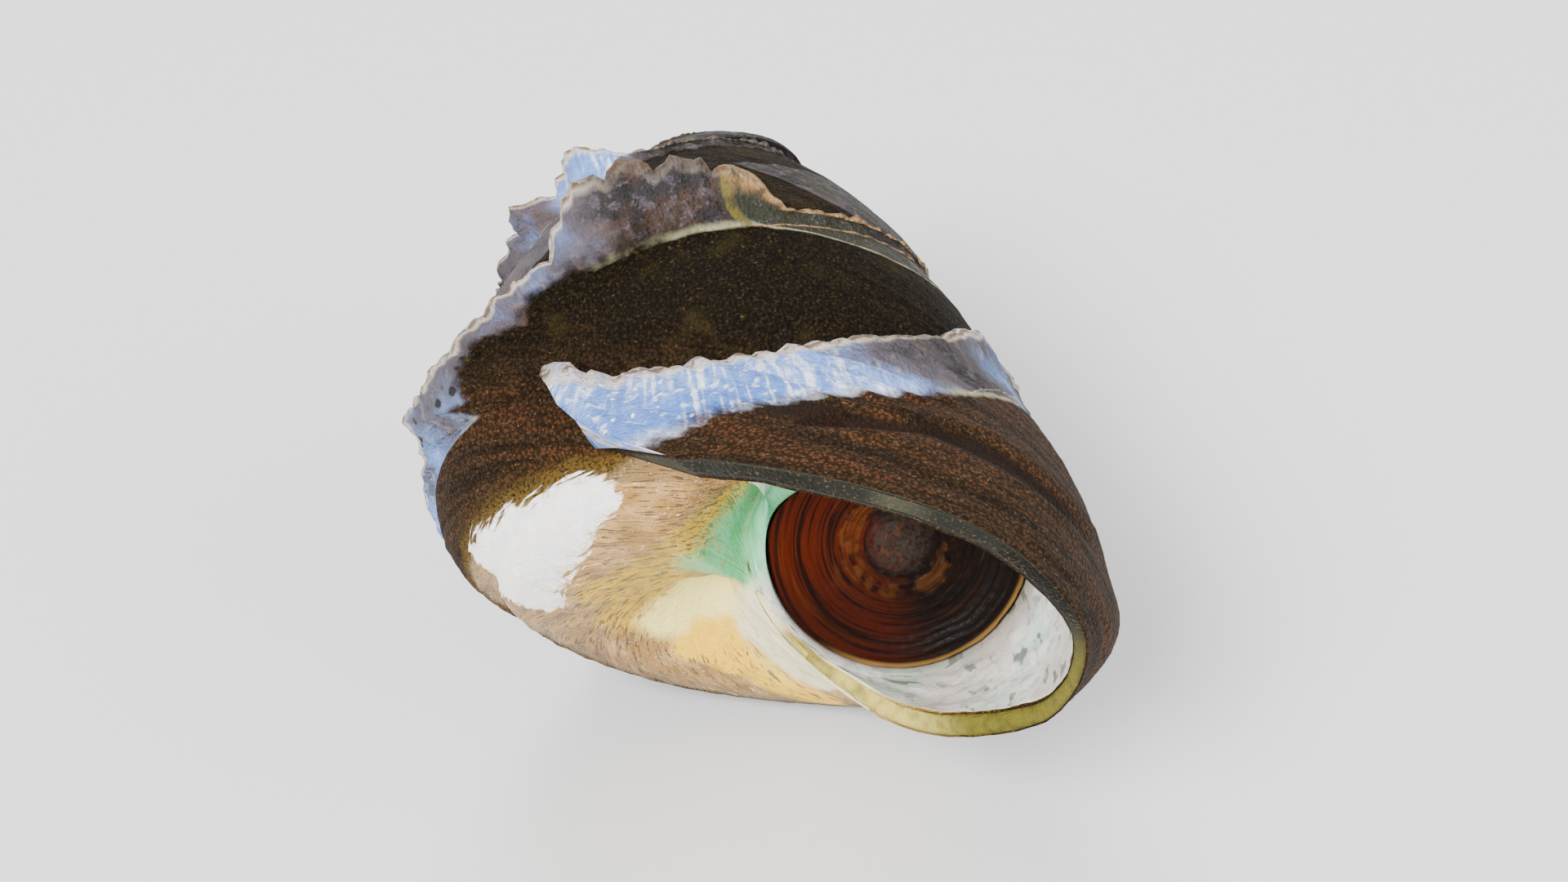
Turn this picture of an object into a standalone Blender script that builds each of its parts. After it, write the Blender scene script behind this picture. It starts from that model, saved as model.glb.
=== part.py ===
# Shell of a top snail lying on its back, closed by its round horny lid.
# The shell is one spiral sheet: every row of points is one old lip, every column one growth spiral.
import math

import bpy
import numpy as np
from mathutils import Matrix

# Overall size and fineness
UNIT = 0.0215              # metres for one unit of the growth figures
MM = 0.001 / UNIT          # one millimetre in those units
ROW_STEP = 5.0             # degrees of growth from one old lip to the next
ROWS = 306                 # old lips from the mouth back to the tip
WHORL_ROWS = 60            # rows from the mouth back to where the last whorl starts to be covered

# Suture spiral, by growth angle before the lip's upper joint
JOINT_AZIMUTH = 120.3      # where the lip joins the whorl above, clockwise seen from the tip
SUTURE_TURN = (-1800, -1440, -1080, -900, -720, -630, -540, -450, -360, -270, -180, -90, 0, 60)
SUTURE_RADIUS = (
    0.030, 0.062, 0.128, 0.198, 0.300, 0.346, 0.406,
    0.461, 0.537, 0.631, 0.590, 0.526, 0.472, 0.430,
)
SUTURE_DROP = (0.215, 0.232, 0.278, 0.340, 0.452, 0.557, 0.667, 0.761, 0.815, 0.960, 1.017, 1.068, 1.154, 1.215)

# Lower guide of the last whorl, where a next whorl would have joined it
GUIDE_TURN = (-360, -315, -270, -225, -180, -135, -90, -45, 0, 60)
GUIDE_RADIUS = (0.472, 0.510, 0.532, 0.552, 0.568, 0.586, 0.643, 0.822, 1.034, 1.284)
GUIDE_DROP = (1.154, 1.131, 1.105, 1.163, 1.271, 1.404, 1.555, 1.737, 1.973, 2.237)

# Section of a whorl between suture, guide and axis
GUIDE_SHARE = 0.420        # share of the way from suture to axis at which the guide lies
SECTION_KNOTS = (0.0, 0.140, 0.295, GUIDE_SHARE, 0.530, 0.660, 0.840, 1.0)
FACE_KNOTS = (0.33, 0.70)  # where along the chord from suture to guide the swell is given
SWELL = 0.050              # outward swell of the whorl face, as a share of its chord
BULGE = 0.030              # extra swell where the last whorl leaves the hidden side
BULGE_TURN = -275.0
BULGE_SPREAD = 38.0        # degrees of growth
BASE_RADIUS = (0.974, 0.759, 0.400, 0.020)     # base radii as shares of the guide radius
BASE_DEPTH = (0.164, 0.276, 0.286, 0.291)      # base depths below the guide, before growth
GROWTH_TURN = (-1800, -360, -270, -180, -90, 0, 90)
GROWTH_SIZE = (0.430, 0.469, 0.392, 0.641, 0.891, 1.105, 1.105)

# Old lips lean back: how far each share of the edge lags behind the joint, in degrees
LAG_SHARE = (0.0, 0.091, 0.182, 0.273, 0.364, GUIDE_SHARE, 0.545, 0.636, 0.727, 0.818, 0.909, 1.0)
LAG = (0.0, 11.0, 23.5, 36.5, 50.5, 60.0, 78.5, 92.5, 106.5, 120.5, 134.5, 148.0)

# Crest along the suture, by growth angle: reach outwards and rise towards the tip, in millimetres,
# and the share of the whorl's face at which its foot stands
CREST = (
    (-1800, 0.12, 0.05, 0.06),
    (-1000, 0.15, 0.10, 0.06),
    (-800, 0.20, 0.10, 0.05),
    (-745, 0.25, 0.15, 0.05),
    (-733, 0.35, 0.50, 0.05),
    (-727, 0.60, 1.00, 0.05),
    (-720, 0.80, 1.80, 0.06),
    (-713, 0.70, 1.60, 0.06),
    (-707, 0.60, 0.50, 0.06),
    (-697, 1.90, 0.70, 0.08),
    (-690, 1.20, 0.50, 0.08),
    (-675, 1.35, 0.30, 0.08),
    (-660, 1.20, 0.30, 0.08),
    (-640, 0.50, 0.20, 0.06),
    (-560, 0.35, 0.15, 0.05),
    (-480, 0.20, 0.10, 0.04),
    (-410, 0.35, 0.25, 0.04),
    (-405, 0.60, 1.80, 0.04),
    (-390, 0.90, 2.60, 0.04),
    (-375, 1.10, 3.20, 0.05),
    (-367, 1.10, 2.60, 0.05),
    (-361, 0.60, 0.80, 0.06),
    (-345, 0.50, 0.90, 0.11),
    (-335, 0.80, 0.70, 0.18),
    (-325, 1.15, 0.50, 0.20),
    (-317, 1.25, 0.60, 0.20),
    (-311, 0.40, 0.20, 0.10),
    (-300, 0.32, 0.15, 0.06),
    (-250, 0.35, 0.20, 0.06),
    (-242, 1.60, 0.40, 0.10),
    (-235, 1.70, 0.40, 0.10),
    (-228, 0.40, 0.20, 0.08),
    (-192, 0.40, 0.20, 0.08),
    (-185, 1.70, 0.40, 0.10),
    (-178, 1.60, 0.40, 0.10),
    (-170, 0.35, 0.20, 0.06),
    (-112, 0.20, 0.15, 0.06),
    (-104, 0.22, 0.40, 0.07),
    (-97, 0.25, 1.00, 0.08),
    (-90, 0.40, 1.60, 0.08),
    (-84, 0.50, 1.10, 0.09),
    (-75, 0.60, 0.30, 0.10),
    (-60, 0.50, 0.15, 0.13),
    (-45, 0.50, 0.10, 0.17),
    (-35, 0.55, 0.20, 0.18),
    (-22, 0.75, 0.80, 0.18),
    (-10, 0.90, 1.60, 0.18),
    (-5, 1.05, 2.40, 0.17),
    (0, 1.50, 3.60, 0.17),
)
# The crest's five lines: gutter floor, inner wall, rim, face and foot
CREST_SHARES = (0.008, 0.016, 0.024)           # shares of the whorl's face under the first three
CREST_FACE = 0.45                              # share of the foot's share under the face line
CREST_OUT = (0.30, 1.0, 1.0, 0.85, 0.15)       # shares of the reach
CREST_UP = (0.05, 1.0, 1.0, 0.35, 0.0)         # shares of the rise
CREST_INWARD = (0.0, 1.0, 0.0, 0.0, 0.0)       # where the standing edge's thickness is taken off
CREST_CURL = (0.1, 0.8, 1.0, 0.5, 0.0)         # shares of the curl at the free end
CREST_WALL = 0.70          # thickness of the crest's standing edge
SCROLL_LEAD = 3.4          # degrees by which the crest's free end curls out past the lip
SCROLL_LENGTH = 15.0       # degrees of growth over which it does so
FLARE_SHARES = (0.10, 0.35, 0.55, 0.70, 0.80, 0.89, 1.0)
FLARE = (-2.0, -1.5, 2.0, 4.0, 8.0, 9.0, 2.0)      # degrees by which the lip's edge runs out past its row
# The lip's inner end runs back up the pillar: degrees by share, fading over a length of growth
RETREAT_SHARES = (0.0, 0.80, 0.85, 0.90, 0.95, 1.0)
RETREAT = (0.0, 0.0, 3.0, 15.0, 50.0, 95.0)
RETREAT_LENGTH = 170.0

# Columns of the sheet: steps from the crest's foot to the guide, then shares on to the axis
FACE_STEPS = 4
LOWER_SHARES = (0.475, 0.53, 0.57, 0.615, 0.66, 0.705, 0.75, 0.795, 0.84, 0.88, 0.92, 0.96, 1.0)

# The oldest turns stand a little to the right of the axis
TIP_SHIFT = 0.050
TIP_TURNS = (-980.0, -720.0)

# Hollow in front of the lid: a funnel from the lip to the lid's seat, then a blind bowl; millimetres
LIP_WALL_SHARES = (0.17, 0.42, 0.50, 0.62, 0.72, 0.86, 1.0)
LIP_WALL = (1.0, 0.95, 0.75, 0.65, 0.90, 1.0, 0.8)
PILLAR_STEPS = 4           # points round the pillar in the mouth's inner edge
FUNNEL_ROWS = 5
FUNNEL_BOW = 0.07          # outward bow of the funnel, as a share of its length
FUNNEL_LEAD = 0.35         # rows lie closer together towards the seat
SEAT_GAP = 0.46            # between the lid's rim and its seat
SEAT_RISE = 0.35           # of the seat's front edge above the lid's plane
SEAT_EDGE = 0.25           # from the seat to the mouth's inner edge where they come together
SEAT_NEAR = 2.5            # height over the lid's plane below which they are kept apart
SEAT_ANGLE = 150.0         # degrees round the lid at which the mouth's slit runs off
SEAT_TURN = 354.0          # degrees that the seat's points cover
SEAT_EVENNESS = 0.42       # share by which they are spaced evenly
# Rings behind the funnel: share of the seat's radius, and height over the lid's plane
BOWL = ((1.0, -0.35), (0.985, -1.45), (0.62, -2.45), (0.30, -2.65))

# Room for the seat: by angle round the lid, the reach of the bare skin's edge and where it is moved to
ROOM_ANGLE = (0.0, 130.0, 144.0, 156.0, 180.0, 197.0, 206.0, 230.0, 250.0, 360.0)
ROOM_INNER = (6.0, 6.0, 4.7, 3.9, 4.0, 5.2, 5.6, 6.0, 6.2, 6.2)
ROOM_EDGE = (6.0, 6.0, 6.1, 6.1, 6.1, 6.1, 6.15, 6.2, 6.2, 6.2)
ROOM_END = 9.0             # reach past which nothing is moved
ROOM_SPREAD = 1.15         # limit of the move inside the bare edge
ROOM_DEPTH = (-10.0, -7.0) # heights over the lid's plane between which the room fades in
PAD_SLOPE = 1.5            # fall of the pad away from the seat
PAD_FADE = (6.4, 9.4)      # reach over which the pad runs out
PAD_ANGLES = (132.0, 149.0, 252.0, 268.0)      # angles round the lid over which it fades in and out
PAD_BLEND = 0.5            # rounding between skin and pad

# Round horny lid
LID_RADIUS = 5.28          # millimetres
LID_THICKNESS = 0.55
LID_DISH = 0.35            # how far the middle lies behind the edge
LID_SIDES = 48
# Rings of the lid from its middle outwards: share of the radius, and share of the dish recovered there
LID_RINGS = ((0.0, 0.0), (0.35, 0.04), (0.70, 0.30), (0.93, 0.75), (1.0, 0.95))
LID_EDGE = 0.6             # share of the thickness left at the rounded edge
LID_NOTCH = (147.0, 15.0, 0.15)         # angle, half width and depth share of its worn side
LID_WEAR = 6               # power by which the wear fades towards the middle
LID_CENTRE = (5.35, -1.91, -28.50)      # millimetres in the growth frame
LID_FACING = (-0.089, -0.682, -0.726)   # the way its outer face looks
LID_RIGHT = (0.951, 0.159, -0.266)

# How the shell lies, in the growth frame: its resting side, its front, and the point at the origin
DOWN = (-0.009, 0.964, -0.267)
FRONT = (0.0, -0.758, -0.652)
MIDDLE = (-0.37, 12.05, -25.91)         # millimetres

# Finish
SMOOTH_ANGLE = 50.0        # degrees below which neighbouring faces are shaded as one surface
SHELL_COLOUR = (0.235, 0.190, 0.130)    # linear, between the dark olive back and the pale base
LID_COLOUR = (0.080, 0.022, 0.010)
SHELL_ROUGHNESS = 0.50
LID_ROUGHNESS = 0.35


def hermite(x, y, q):
    """Smooth curve through the points (x, y): cubic pieces whose slopes are the mean of both sides."""
    x = np.asarray(x, float)
    y = np.asarray(y, float)
    q = np.asarray(q, float)
    wide = (..., *([None] * (y.ndim - 1)))
    step = np.diff(x)
    rise = np.diff(y, axis=0) / step[wide]
    slope = np.empty_like(y)
    slope[0] = rise[0]
    slope[-1] = rise[-1]
    slope[1:-1] = (rise[:-1] * step[1:][wide] + rise[1:] * step[:-1][wide]) / (step[:-1] + step[1:])[wide]
    i = np.clip(np.searchsorted(x, q, side="right") - 1, 0, len(x) - 2)
    t = ((q - x[i]) / step[i])[wide]
    h = step[i][wide]
    start = y[i] * (2 * t**3 - 3 * t**2 + 1) + slope[i] * h * (t**3 - 2 * t**2 + t)
    end = y[i + 1] * (3 * t**2 - 2 * t**3) + slope[i + 1] * h * (t**3 - t**2)
    return start + end


def suture(turn):
    """Radius and drop of the suture at a growth turn in degrees, held past its ends."""
    q = np.clip(turn, SUTURE_TURN[0], SUTURE_TURN[-1])
    return hermite(SUTURE_TURN, SUTURE_RADIUS, q), hermite(SUTURE_TURN, SUTURE_DROP, q)


def guide(turn):
    """Radius and drop of the lower guide: the next whorl's suture, or past it the guide figures."""
    q = np.clip(turn, GUIDE_TURN[0], GUIDE_TURN[-1])
    early_r, early_h = suture(np.minimum(turn, -360.0) + 360.0)
    late = turn > -360.0
    late_r = hermite(GUIDE_TURN, GUIDE_RADIUS, q)
    late_h = hermite(GUIDE_TURN, GUIDE_DROP, q)
    return np.where(late, late_r, early_r), np.where(late, late_h, early_h)


def section(turn, share):
    """Radius and drop of the whorl's face at a growth turn and a share from suture (0) to axis (1)."""
    r0, h0 = suture(turn)
    r1, h1 = guide(turn)
    dr = r1 - r0
    dh = h1 - h0
    size = hermite(GROWTH_TURN, GROWTH_SIZE, np.clip(turn, GROWTH_TURN[0], GROWTH_TURN[-1]))
    bulge = BULGE * np.exp(-(((turn - BULGE_TURN) / BULGE_SPREAD) ** 2))
    radii = [r0] + [r0 + knot * dr + SWELL * dh + bulge for knot in FACE_KNOTS] + [r1]
    drops = [h0] + [h0 + knot * dh - SWELL * dr for knot in FACE_KNOTS] + [h1]
    for radius_share, depth in zip(BASE_RADIUS, BASE_DEPTH):
        radii.append(r1 * radius_share)
        drops.append(h1 + depth * size)
    weight = hermite(SECTION_KNOTS, np.eye(len(SECTION_KNOTS)), share)
    r = sum(weight[..., k] * radii[k] for k in range(len(radii)))
    h = sum(weight[..., k] * drops[k] for k in range(len(drops)))
    return r, h


def place(r, h, turn):
    """Point in space for a radius, a drop below the tip and a growth turn."""
    a = np.radians(turn + JOINT_AZIMUTH)
    t = np.clip((TIP_TURNS[1] - turn) / (TIP_TURNS[1] - TIP_TURNS[0]), 0.0, 1.0)
    shift = TIP_SHIFT * t * t * (3.0 - 2.0 * t)
    return np.stack([r * np.cos(a) + shift, -r * np.sin(a), -h], -1)


def skin(row_turn, share):
    """Point of the whorl's face on the old lip whose joint lies at row_turn."""
    share = np.asarray(share, float)
    turn = row_turn - hermite(LAG_SHARE, LAG, share)
    r, h = section(turn, share)
    return place(r, h, turn)


def skin_normal(row_turn, share):
    """Outward unit normal of the whorl's face, from two small steps on it."""
    along = skin(row_turn + 0.5, share) - skin(row_turn - 0.5, share)
    low = np.clip(share - 0.004, 0.0, 1.0)
    high = np.clip(share + 0.004, 0.0, 1.0)
    across = skin(row_turn, high) - skin(row_turn, low)
    n = np.cross(along, across)
    return n / np.linalg.norm(n, axis=-1, keepdims=True)


def crest_figures(row_turn):
    """Reach, rise and foot share of the crest at one row."""
    turns, *columns = zip(*CREST)
    reach, rise, foot = (float(np.interp(row_turn, turns, column)) for column in columns)
    return reach * MM, rise * MM, foot


def crest(row_turn):
    """Five points over the crest at one row: gutter floor, inner wall, rim, face and foot."""
    reach, rise, foot = crest_figures(row_turn)
    wall = min(CREST_WALL * MM, 0.45 * reach)
    curl = SCROLL_LEAD * max(0.0, 1.0 + row_turn / SCROLL_LENGTH) ** 2
    turns = row_turn + np.array(CREST_CURL) * curl
    shares = np.array([*CREST_SHARES, CREST_FACE * foot, foot])
    out = reach * np.array(CREST_OUT) - wall * np.array(CREST_INWARD)
    up = rise * np.array(CREST_UP) - 0.15 * wall * np.array(CREST_INWARD)
    a = np.radians(turns - hermite(LAG_SHARE, LAG, shares) + JOINT_AZIMUTH)
    return skin(turns, shares) + np.stack([out * np.cos(a), -out * np.sin(a), up], -1)


def face_shares(row_turn):
    """Shares from the crest's foot down to the guide."""
    return np.linspace(crest_figures(row_turn)[2], GUIDE_SHARE, FACE_STEPS + 1)


def edge_turn(row, shares):
    """Growth turn of a row's points: the lip's own edge runs out, and its inner end runs back."""
    turn = -ROW_STEP * row
    out = np.interp(shares, FLARE_SHARES, FLARE) if row == 0 else 0.0
    back = np.interp(shares, RETREAT_SHARES, RETREAT) * max(0.0, 1.0 + turn / RETREAT_LENGTH)
    return turn + out - back


def lid_axes():
    """Right, up and outward directions of the lid in the growth frame."""
    facing = unit(LID_FACING)
    right = unit(np.array(LID_RIGHT) - np.dot(LID_RIGHT, facing) * facing)
    return np.array([right, np.cross(facing, right), facing])


def to_lid(points):
    """Millimetres in the lid's own frame, its outer face towards +Z."""
    return (points / MM - np.array(LID_CENTRE)) @ lid_axes().T


def from_lid(points):
    """Growth units for millimetres in the lid's own frame."""
    return (points @ lid_axes() + np.array(LID_CENTRE)) * MM


def lid_edge(angle):
    """Radius of the lid by the angle round it, in radians: a circle worn in at one side."""
    middle, half, depth = LID_NOTCH
    off = (np.degrees(angle) - middle + 180.0) % 360.0 - 180.0
    return LID_RADIUS * (1.0 - depth * np.exp(-((off / half) ** 2)))


def fade(value, start, end):
    """Smooth step from 0 at start to 1 at end."""
    t = np.clip((value - start) / (end - start), 0.0, 1.0)
    return t * t * (3.0 - 2.0 * t)


def make_room(points):
    """Skin near the lid moved outwards so that its edge clears the seat, and raised to a rounded pad."""
    x, y, z = np.moveaxis(to_lid(points), -1, 0)
    reach = np.hypot(x, y)
    angle = np.degrees(np.arctan2(y, x)) % 360.0
    inner = np.interp(angle, ROOM_ANGLE, ROOM_INNER)
    wanted = np.interp(angle, ROOM_ANGLE, ROOM_EDGE)
    near = fade(z, *ROOM_DEPTH)
    t = np.clip((ROOM_END - reach) / (ROOM_END - inner), 0.0, ROOM_SPREAD)
    moved = reach + near * (wanted - inner) * t
    top = SEAT_RISE - PAD_SLOPE * (moved - LID_RADIUS - SEAT_GAP)
    lifted = 0.5 * (z + top + np.sqrt((z - top) ** 2 + PAD_BLEND**2))
    inside = np.clip((angle - PAD_ANGLES[0]) / (PAD_ANGLES[1] - PAD_ANGLES[0]), 0.0, 1.0)
    inside = inside * np.clip((PAD_ANGLES[3] - angle) / (PAD_ANGLES[3] - PAD_ANGLES[2]), 0.0, 1.0)
    z = z + near * inside * fade(moved, *PAD_FADE[::-1]) * (np.maximum(lifted, z) - z)
    scale = moved / np.maximum(reach, 1e-9)
    return from_lid(np.stack([x * scale, y * scale, z], -1))


def polar(points):
    """Angle, reach and height of points in the lid's own frame."""
    x, y, z = np.moveaxis(to_lid(points), -1, 0)
    return np.stack([np.arctan2(y, x), np.hypot(x, y), z], -1)


def mouth_loop():
    """The mouth's inner edge: the lip moved in by its wall, round the pillar, back over the whorl before."""
    shares = np.concatenate([face_shares(0.0), LOWER_SHARES[:-1]])
    turn = edge_turn(1.0 / ROW_STEP, shares)
    wall = np.interp(shares, LIP_WALL_SHARES, LIP_WALL)[:, None] * MM
    outer = skin(turn, shares) - wall * skin_normal(turn, shares)
    inner = skin(-WHORL_ROWS * ROW_STEP, np.array(LOWER_SHARES[:-1])[::-1])
    lip = polar(make_room(outer))
    clear = lid_edge(lip[:, 0]) + SEAT_GAP + SEAT_EDGE
    lip[:, 1] = np.where(lip[:, 2] < SEAT_NEAR, np.maximum(lip[:, 1], clear), lip[:, 1])
    old = polar(make_room(inner))
    lip[:, 0] = np.unwrap(lip[:, 0])
    old[:, 0] = np.unwrap(old[:, 0])
    old[:, 0] -= math.tau * np.ceil((old[0, 0] - lip[-1, 0]) / math.tau)
    t = np.linspace(0.0, 1.0, PILLAR_STEPS + 2)[1:-1, None]
    angle, reach, height = np.concatenate([lip, lip[-1] * (1 - t) + old[0] * t, old]).T
    return from_lid(np.stack([reach * np.cos(angle), reach * np.sin(angle), height], -1))


def hollow_loops():
    """Closed rows from the mouth's inner edge by a bowed funnel to the lid's seat, then down a blind bowl."""
    first = to_lid(mouth_loop())
    angle = np.unwrap(np.arctan2(first[:, 1], first[:, 0]))
    angle = np.minimum.accumulate(np.minimum(angle, math.radians(SEAT_ANGLE)))
    whole = math.radians(SEAT_TURN)
    angle = angle[0] + (angle - angle[0]) * whole / (angle[0] - angle[-1])
    even = angle[0] - whole * np.linspace(0.0, 1.0, len(angle))
    angle = (1.0 - SEAT_EVENNESS) * angle + SEAT_EVENNESS * even
    radius = lid_edge(angle) + SEAT_GAP
    outwards = np.stack([np.cos(angle), np.sin(angle), 0.0 * angle], -1)
    seat = radius[:, None] * outwards + np.array([0.0, 0.0, SEAT_RISE])
    bow = FUNNEL_BOW * np.linalg.norm(seat - first, axis=1)[:, None] * outwards
    t = np.linspace(0.0, 1.0, FUNNEL_ROWS + 1)[:, None, None]
    t = t * (1.0 + FUNNEL_LEAD * (1.0 - t))
    funnel = first * (1 - t) + seat * t + bow * np.sin(math.pi * t)
    rings = [share * radius[:, None] * outwards + np.array([0.0, 0.0, z]) for share, z in BOWL]
    return from_lid(np.concatenate([funnel, rings]))


def zip_faces(first, second, points):
    """Triangles between two chains of vertices that run side by side, shorter diagonal first."""
    faces = []
    i = 0
    j = 0
    while i < len(first) - 1 or j < len(second) - 1:
        step_first = step_second = math.inf
        if i < len(first) - 1:
            step_first = math.dist(points[first[i + 1]], points[second[j]])
        if j < len(second) - 1:
            step_second = math.dist(points[first[i]], points[second[j + 1]])
        if step_first <= step_second:
            faces.append((first[i], first[i + 1], second[j]))
            i += 1
        else:
            faces.append((first[i], second[j + 1], second[j]))
            j += 1
    return [face for face in faces if len(set(face)) == 3]


def shell_surface():
    """Points and faces of the whole shell: outside sheet, mouth edge, hollow and tip."""
    points = []
    faces = []

    def add(new):
        start = len(points)
        points.extend(tuple(p) for p in np.atleast_2d(new))
        return list(range(start, len(points)))

    def add_quad(a, b, c, d):
        if math.dist(points[a], points[c]) <= math.dist(points[b], points[d]):
            faces.extend([(a, b, c), (a, c, d)])
        else:
            faces.extend([(a, b, d), (b, c, d)])

    rows = []
    for row in range(ROWS + 1):
        turn = -ROW_STEP * row
        shares = face_shares(turn)[1:]
        rows.append(add(crest(turn)) + add(skin(edge_turn(row, shares), shares)))
    tip_rows = range(ROWS - WHORL_ROWS + 1, ROWS + 1)
    sutures = [rows[row + WHORL_ROWS][-1] for row in range(ROWS - WHORL_ROWS + 1)]
    sutures += [add(skin(-ROW_STEP * row, np.array([0.0])))[0] for row in tip_rows]
    upper = [[sutures[row]] + rows[row] for row in range(ROWS + 1)]
    lower = []
    for row in range(WHORL_ROWS + 1):
        lower.append([rows[row][-1]] + add(make_room(skin(edge_turn(row, LOWER_SHARES), LOWER_SHARES))))
    for grid in (upper, lower):
        for near, far in zip(grid, grid[1:]):
            for k in range(len(near) - 1):
                faces.append((near[k], near[k + 1], far[k]))
                faces.append((near[k + 1], far[k + 1], far[k]))

    # The tip: a fan over the first turn's free suture and the oldest row
    tip = add(place(np.array([0.0]), np.array([SUTURE_DROP[0] - 0.012]), np.array([0.0])))[0]
    ring = [sutures[row] for row in range(ROWS, ROWS - WHORL_ROWS - 1, -1)]
    ring = ring + upper[ROWS][1:-1][::-1]
    for a, b in zip(ring, ring[1:] + ring[:1]):
        faces.append((b, a, tip))

    # The hollow: the first loop shares the old lip at its inner side
    hollow = hollow_loops()
    shared = lower[WHORL_ROWS][1:-1][::-1]
    loops = [add(hollow[0][:-len(shared)]) + shared]
    loops += [add(loop) for loop in hollow[1:]]
    count = len(loops[0])
    for near, far in zip(loops, loops[1:]):
        for k in range(count):
            m = (k + 1) % count
            add_quad(near[m], near[k], far[k], far[m])
    blind = loops[-1]
    middle = add(np.mean([points[k] for k in blind], axis=0))[0]
    for k in range(count):
        faces.append((blind[(k + 1) % count], blind[k], middle))

    # The mouth's edge: end of the crest, bevel of the lip, corner and pillar face
    end = upper[0]
    foot = len(end) - FACE_STEPS - 1
    for k in range(1, foot):
        faces.append((end[0], end[k + 1], end[k]))
    edge = end[foot:] + lower[0][1:-1]
    wall = loops[0][:len(edge)]
    for k in range(len(edge) - 1):
        add_quad(edge[k + 1], edge[k], wall[k], wall[k + 1])
    add_quad(edge[0], end[0], loops[0][-1], wall[0])
    helix = [lower[row][-1] for row in range(WHORL_ROWS + 1)]
    pillar = loops[0][len(edge) - 1:len(edge) + PILLAR_STEPS]
    faces.append((pillar[0], helix[0], edge[-1]))
    faces += zip_faces(pillar, helix, points)
    faces.append((pillar[-1], lower[WHORL_ROWS][-2], helix[-1]))
    return np.array(points), faces


def lid_surface():
    """Closed dish in millimetres: rings of points on a front and a back face, joined at a rounded edge."""
    front = [(share, -LID_DISH * (1.0 - lift)) for share, lift in LID_RINGS[1:]]
    back = [(share, z - LID_THICKNESS * (LID_EDGE if share == 1.0 else 1.0)) for share, z in front[::-1]]
    rings = front + back
    points = [(0.0, 0.0, -LID_DISH)]
    for share, z in rings:
        for k in range(LID_SIDES):
            a = math.tau * k / LID_SIDES
            radius = share * (LID_RADIUS + (lid_edge(a) - LID_RADIUS) * share**LID_WEAR)
            points.append((radius * math.cos(a), radius * math.sin(a), z))
    points.append((0.0, 0.0, -LID_DISH - LID_THICKNESS))
    last = len(points) - 1
    faces = []
    for k in range(LID_SIDES):
        m = (k + 1) % LID_SIDES
        faces.append((0, 1 + k, 1 + m))
        for ring in range(len(rings) - 1):
            a = 1 + ring * LID_SIDES
            b = a + LID_SIDES
            faces.append((a + k, b + k, b + m, a + m))
        base = 1 + (len(rings) - 1) * LID_SIDES
        faces.append((last, base + m, base + k))
    return np.array(points), faces


def unit(vector):
    """The same direction with length one."""
    return np.array(vector) / np.linalg.norm(vector)


def rest_axes():
    """Right, back and up of the shell as it lies, each a direction of the growth frame."""
    up = -unit(DOWN)
    back = -unit(np.array(FRONT) - np.dot(FRONT, up) * up)
    return np.array([np.cross(back, up), back, up])


def lay_down(points):
    """Metres as the shell lies, for millimetres of the growth frame; worn flat where it rests."""
    world = (points - np.array(MIDDLE)) @ rest_axes().T * 0.001
    world[:, 2] = np.maximum(world[:, 2], 0.0)
    return world


def lid_matrix():
    """Where the lid's own frame lies: its middle in the mouth and its outer face turned to the front."""
    matrix = np.eye(4)
    matrix[:3, :3] = rest_axes() @ lid_axes().T
    matrix[:3, 3] = lay_down(np.array([LID_CENTRE]))[0]
    return Matrix(matrix.tolist())


# Build the objects
def material(name, colour, roughness):
    """Plain finish of one material."""
    result = bpy.data.materials.new(name)
    result.use_nodes = True
    shader = result.node_tree.nodes["Principled BSDF"]
    shader.inputs["Base Color"].default_value = (*colour, 1.0)
    shader.inputs["Roughness"].default_value = roughness
    shader.inputs["Metallic"].default_value = 0.0
    return result


def add_object(name, points, faces, finish):
    """Object with a smooth mesh of these points, in metres, and faces."""
    mesh = bpy.data.meshes.new(name)
    mesh.from_pydata(points.tolist(), [], faces)
    mesh.shade_smooth()
    mesh.set_sharp_from_angle(angle=math.radians(SMOOTH_ANGLE))
    mesh.materials.append(finish)
    result = bpy.data.objects.new(name, mesh)
    bpy.context.scene.collection.objects.link(result)
    return result


def add_shell():
    """The shell itself, one grown piece with its crests, hollow mouth and pillar."""
    points, faces = shell_surface()
    return add_object("shell", lay_down(points / MM), faces, material("shell", SHELL_COLOUR, SHELL_ROUGHNESS))


def add_lid():
    """The round horny lid in the mouth, a piece of its own."""
    points, faces = lid_surface()
    lid = add_object("operculum", points * 0.001, faces, material("horny_lid", LID_COLOUR, LID_ROUGHNESS))
    lid.matrix_world = lid_matrix()
    return lid


for old in list(bpy.data.objects):
    bpy.data.objects.remove(old)
add_shell()
add_lid()
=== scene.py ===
# Looks of a top snail's shell: a fine growth-grid skin, its round horny lid, and the stage.
import math

import bpy
import numpy as np
from mathutils import Matrix, Vector


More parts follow.
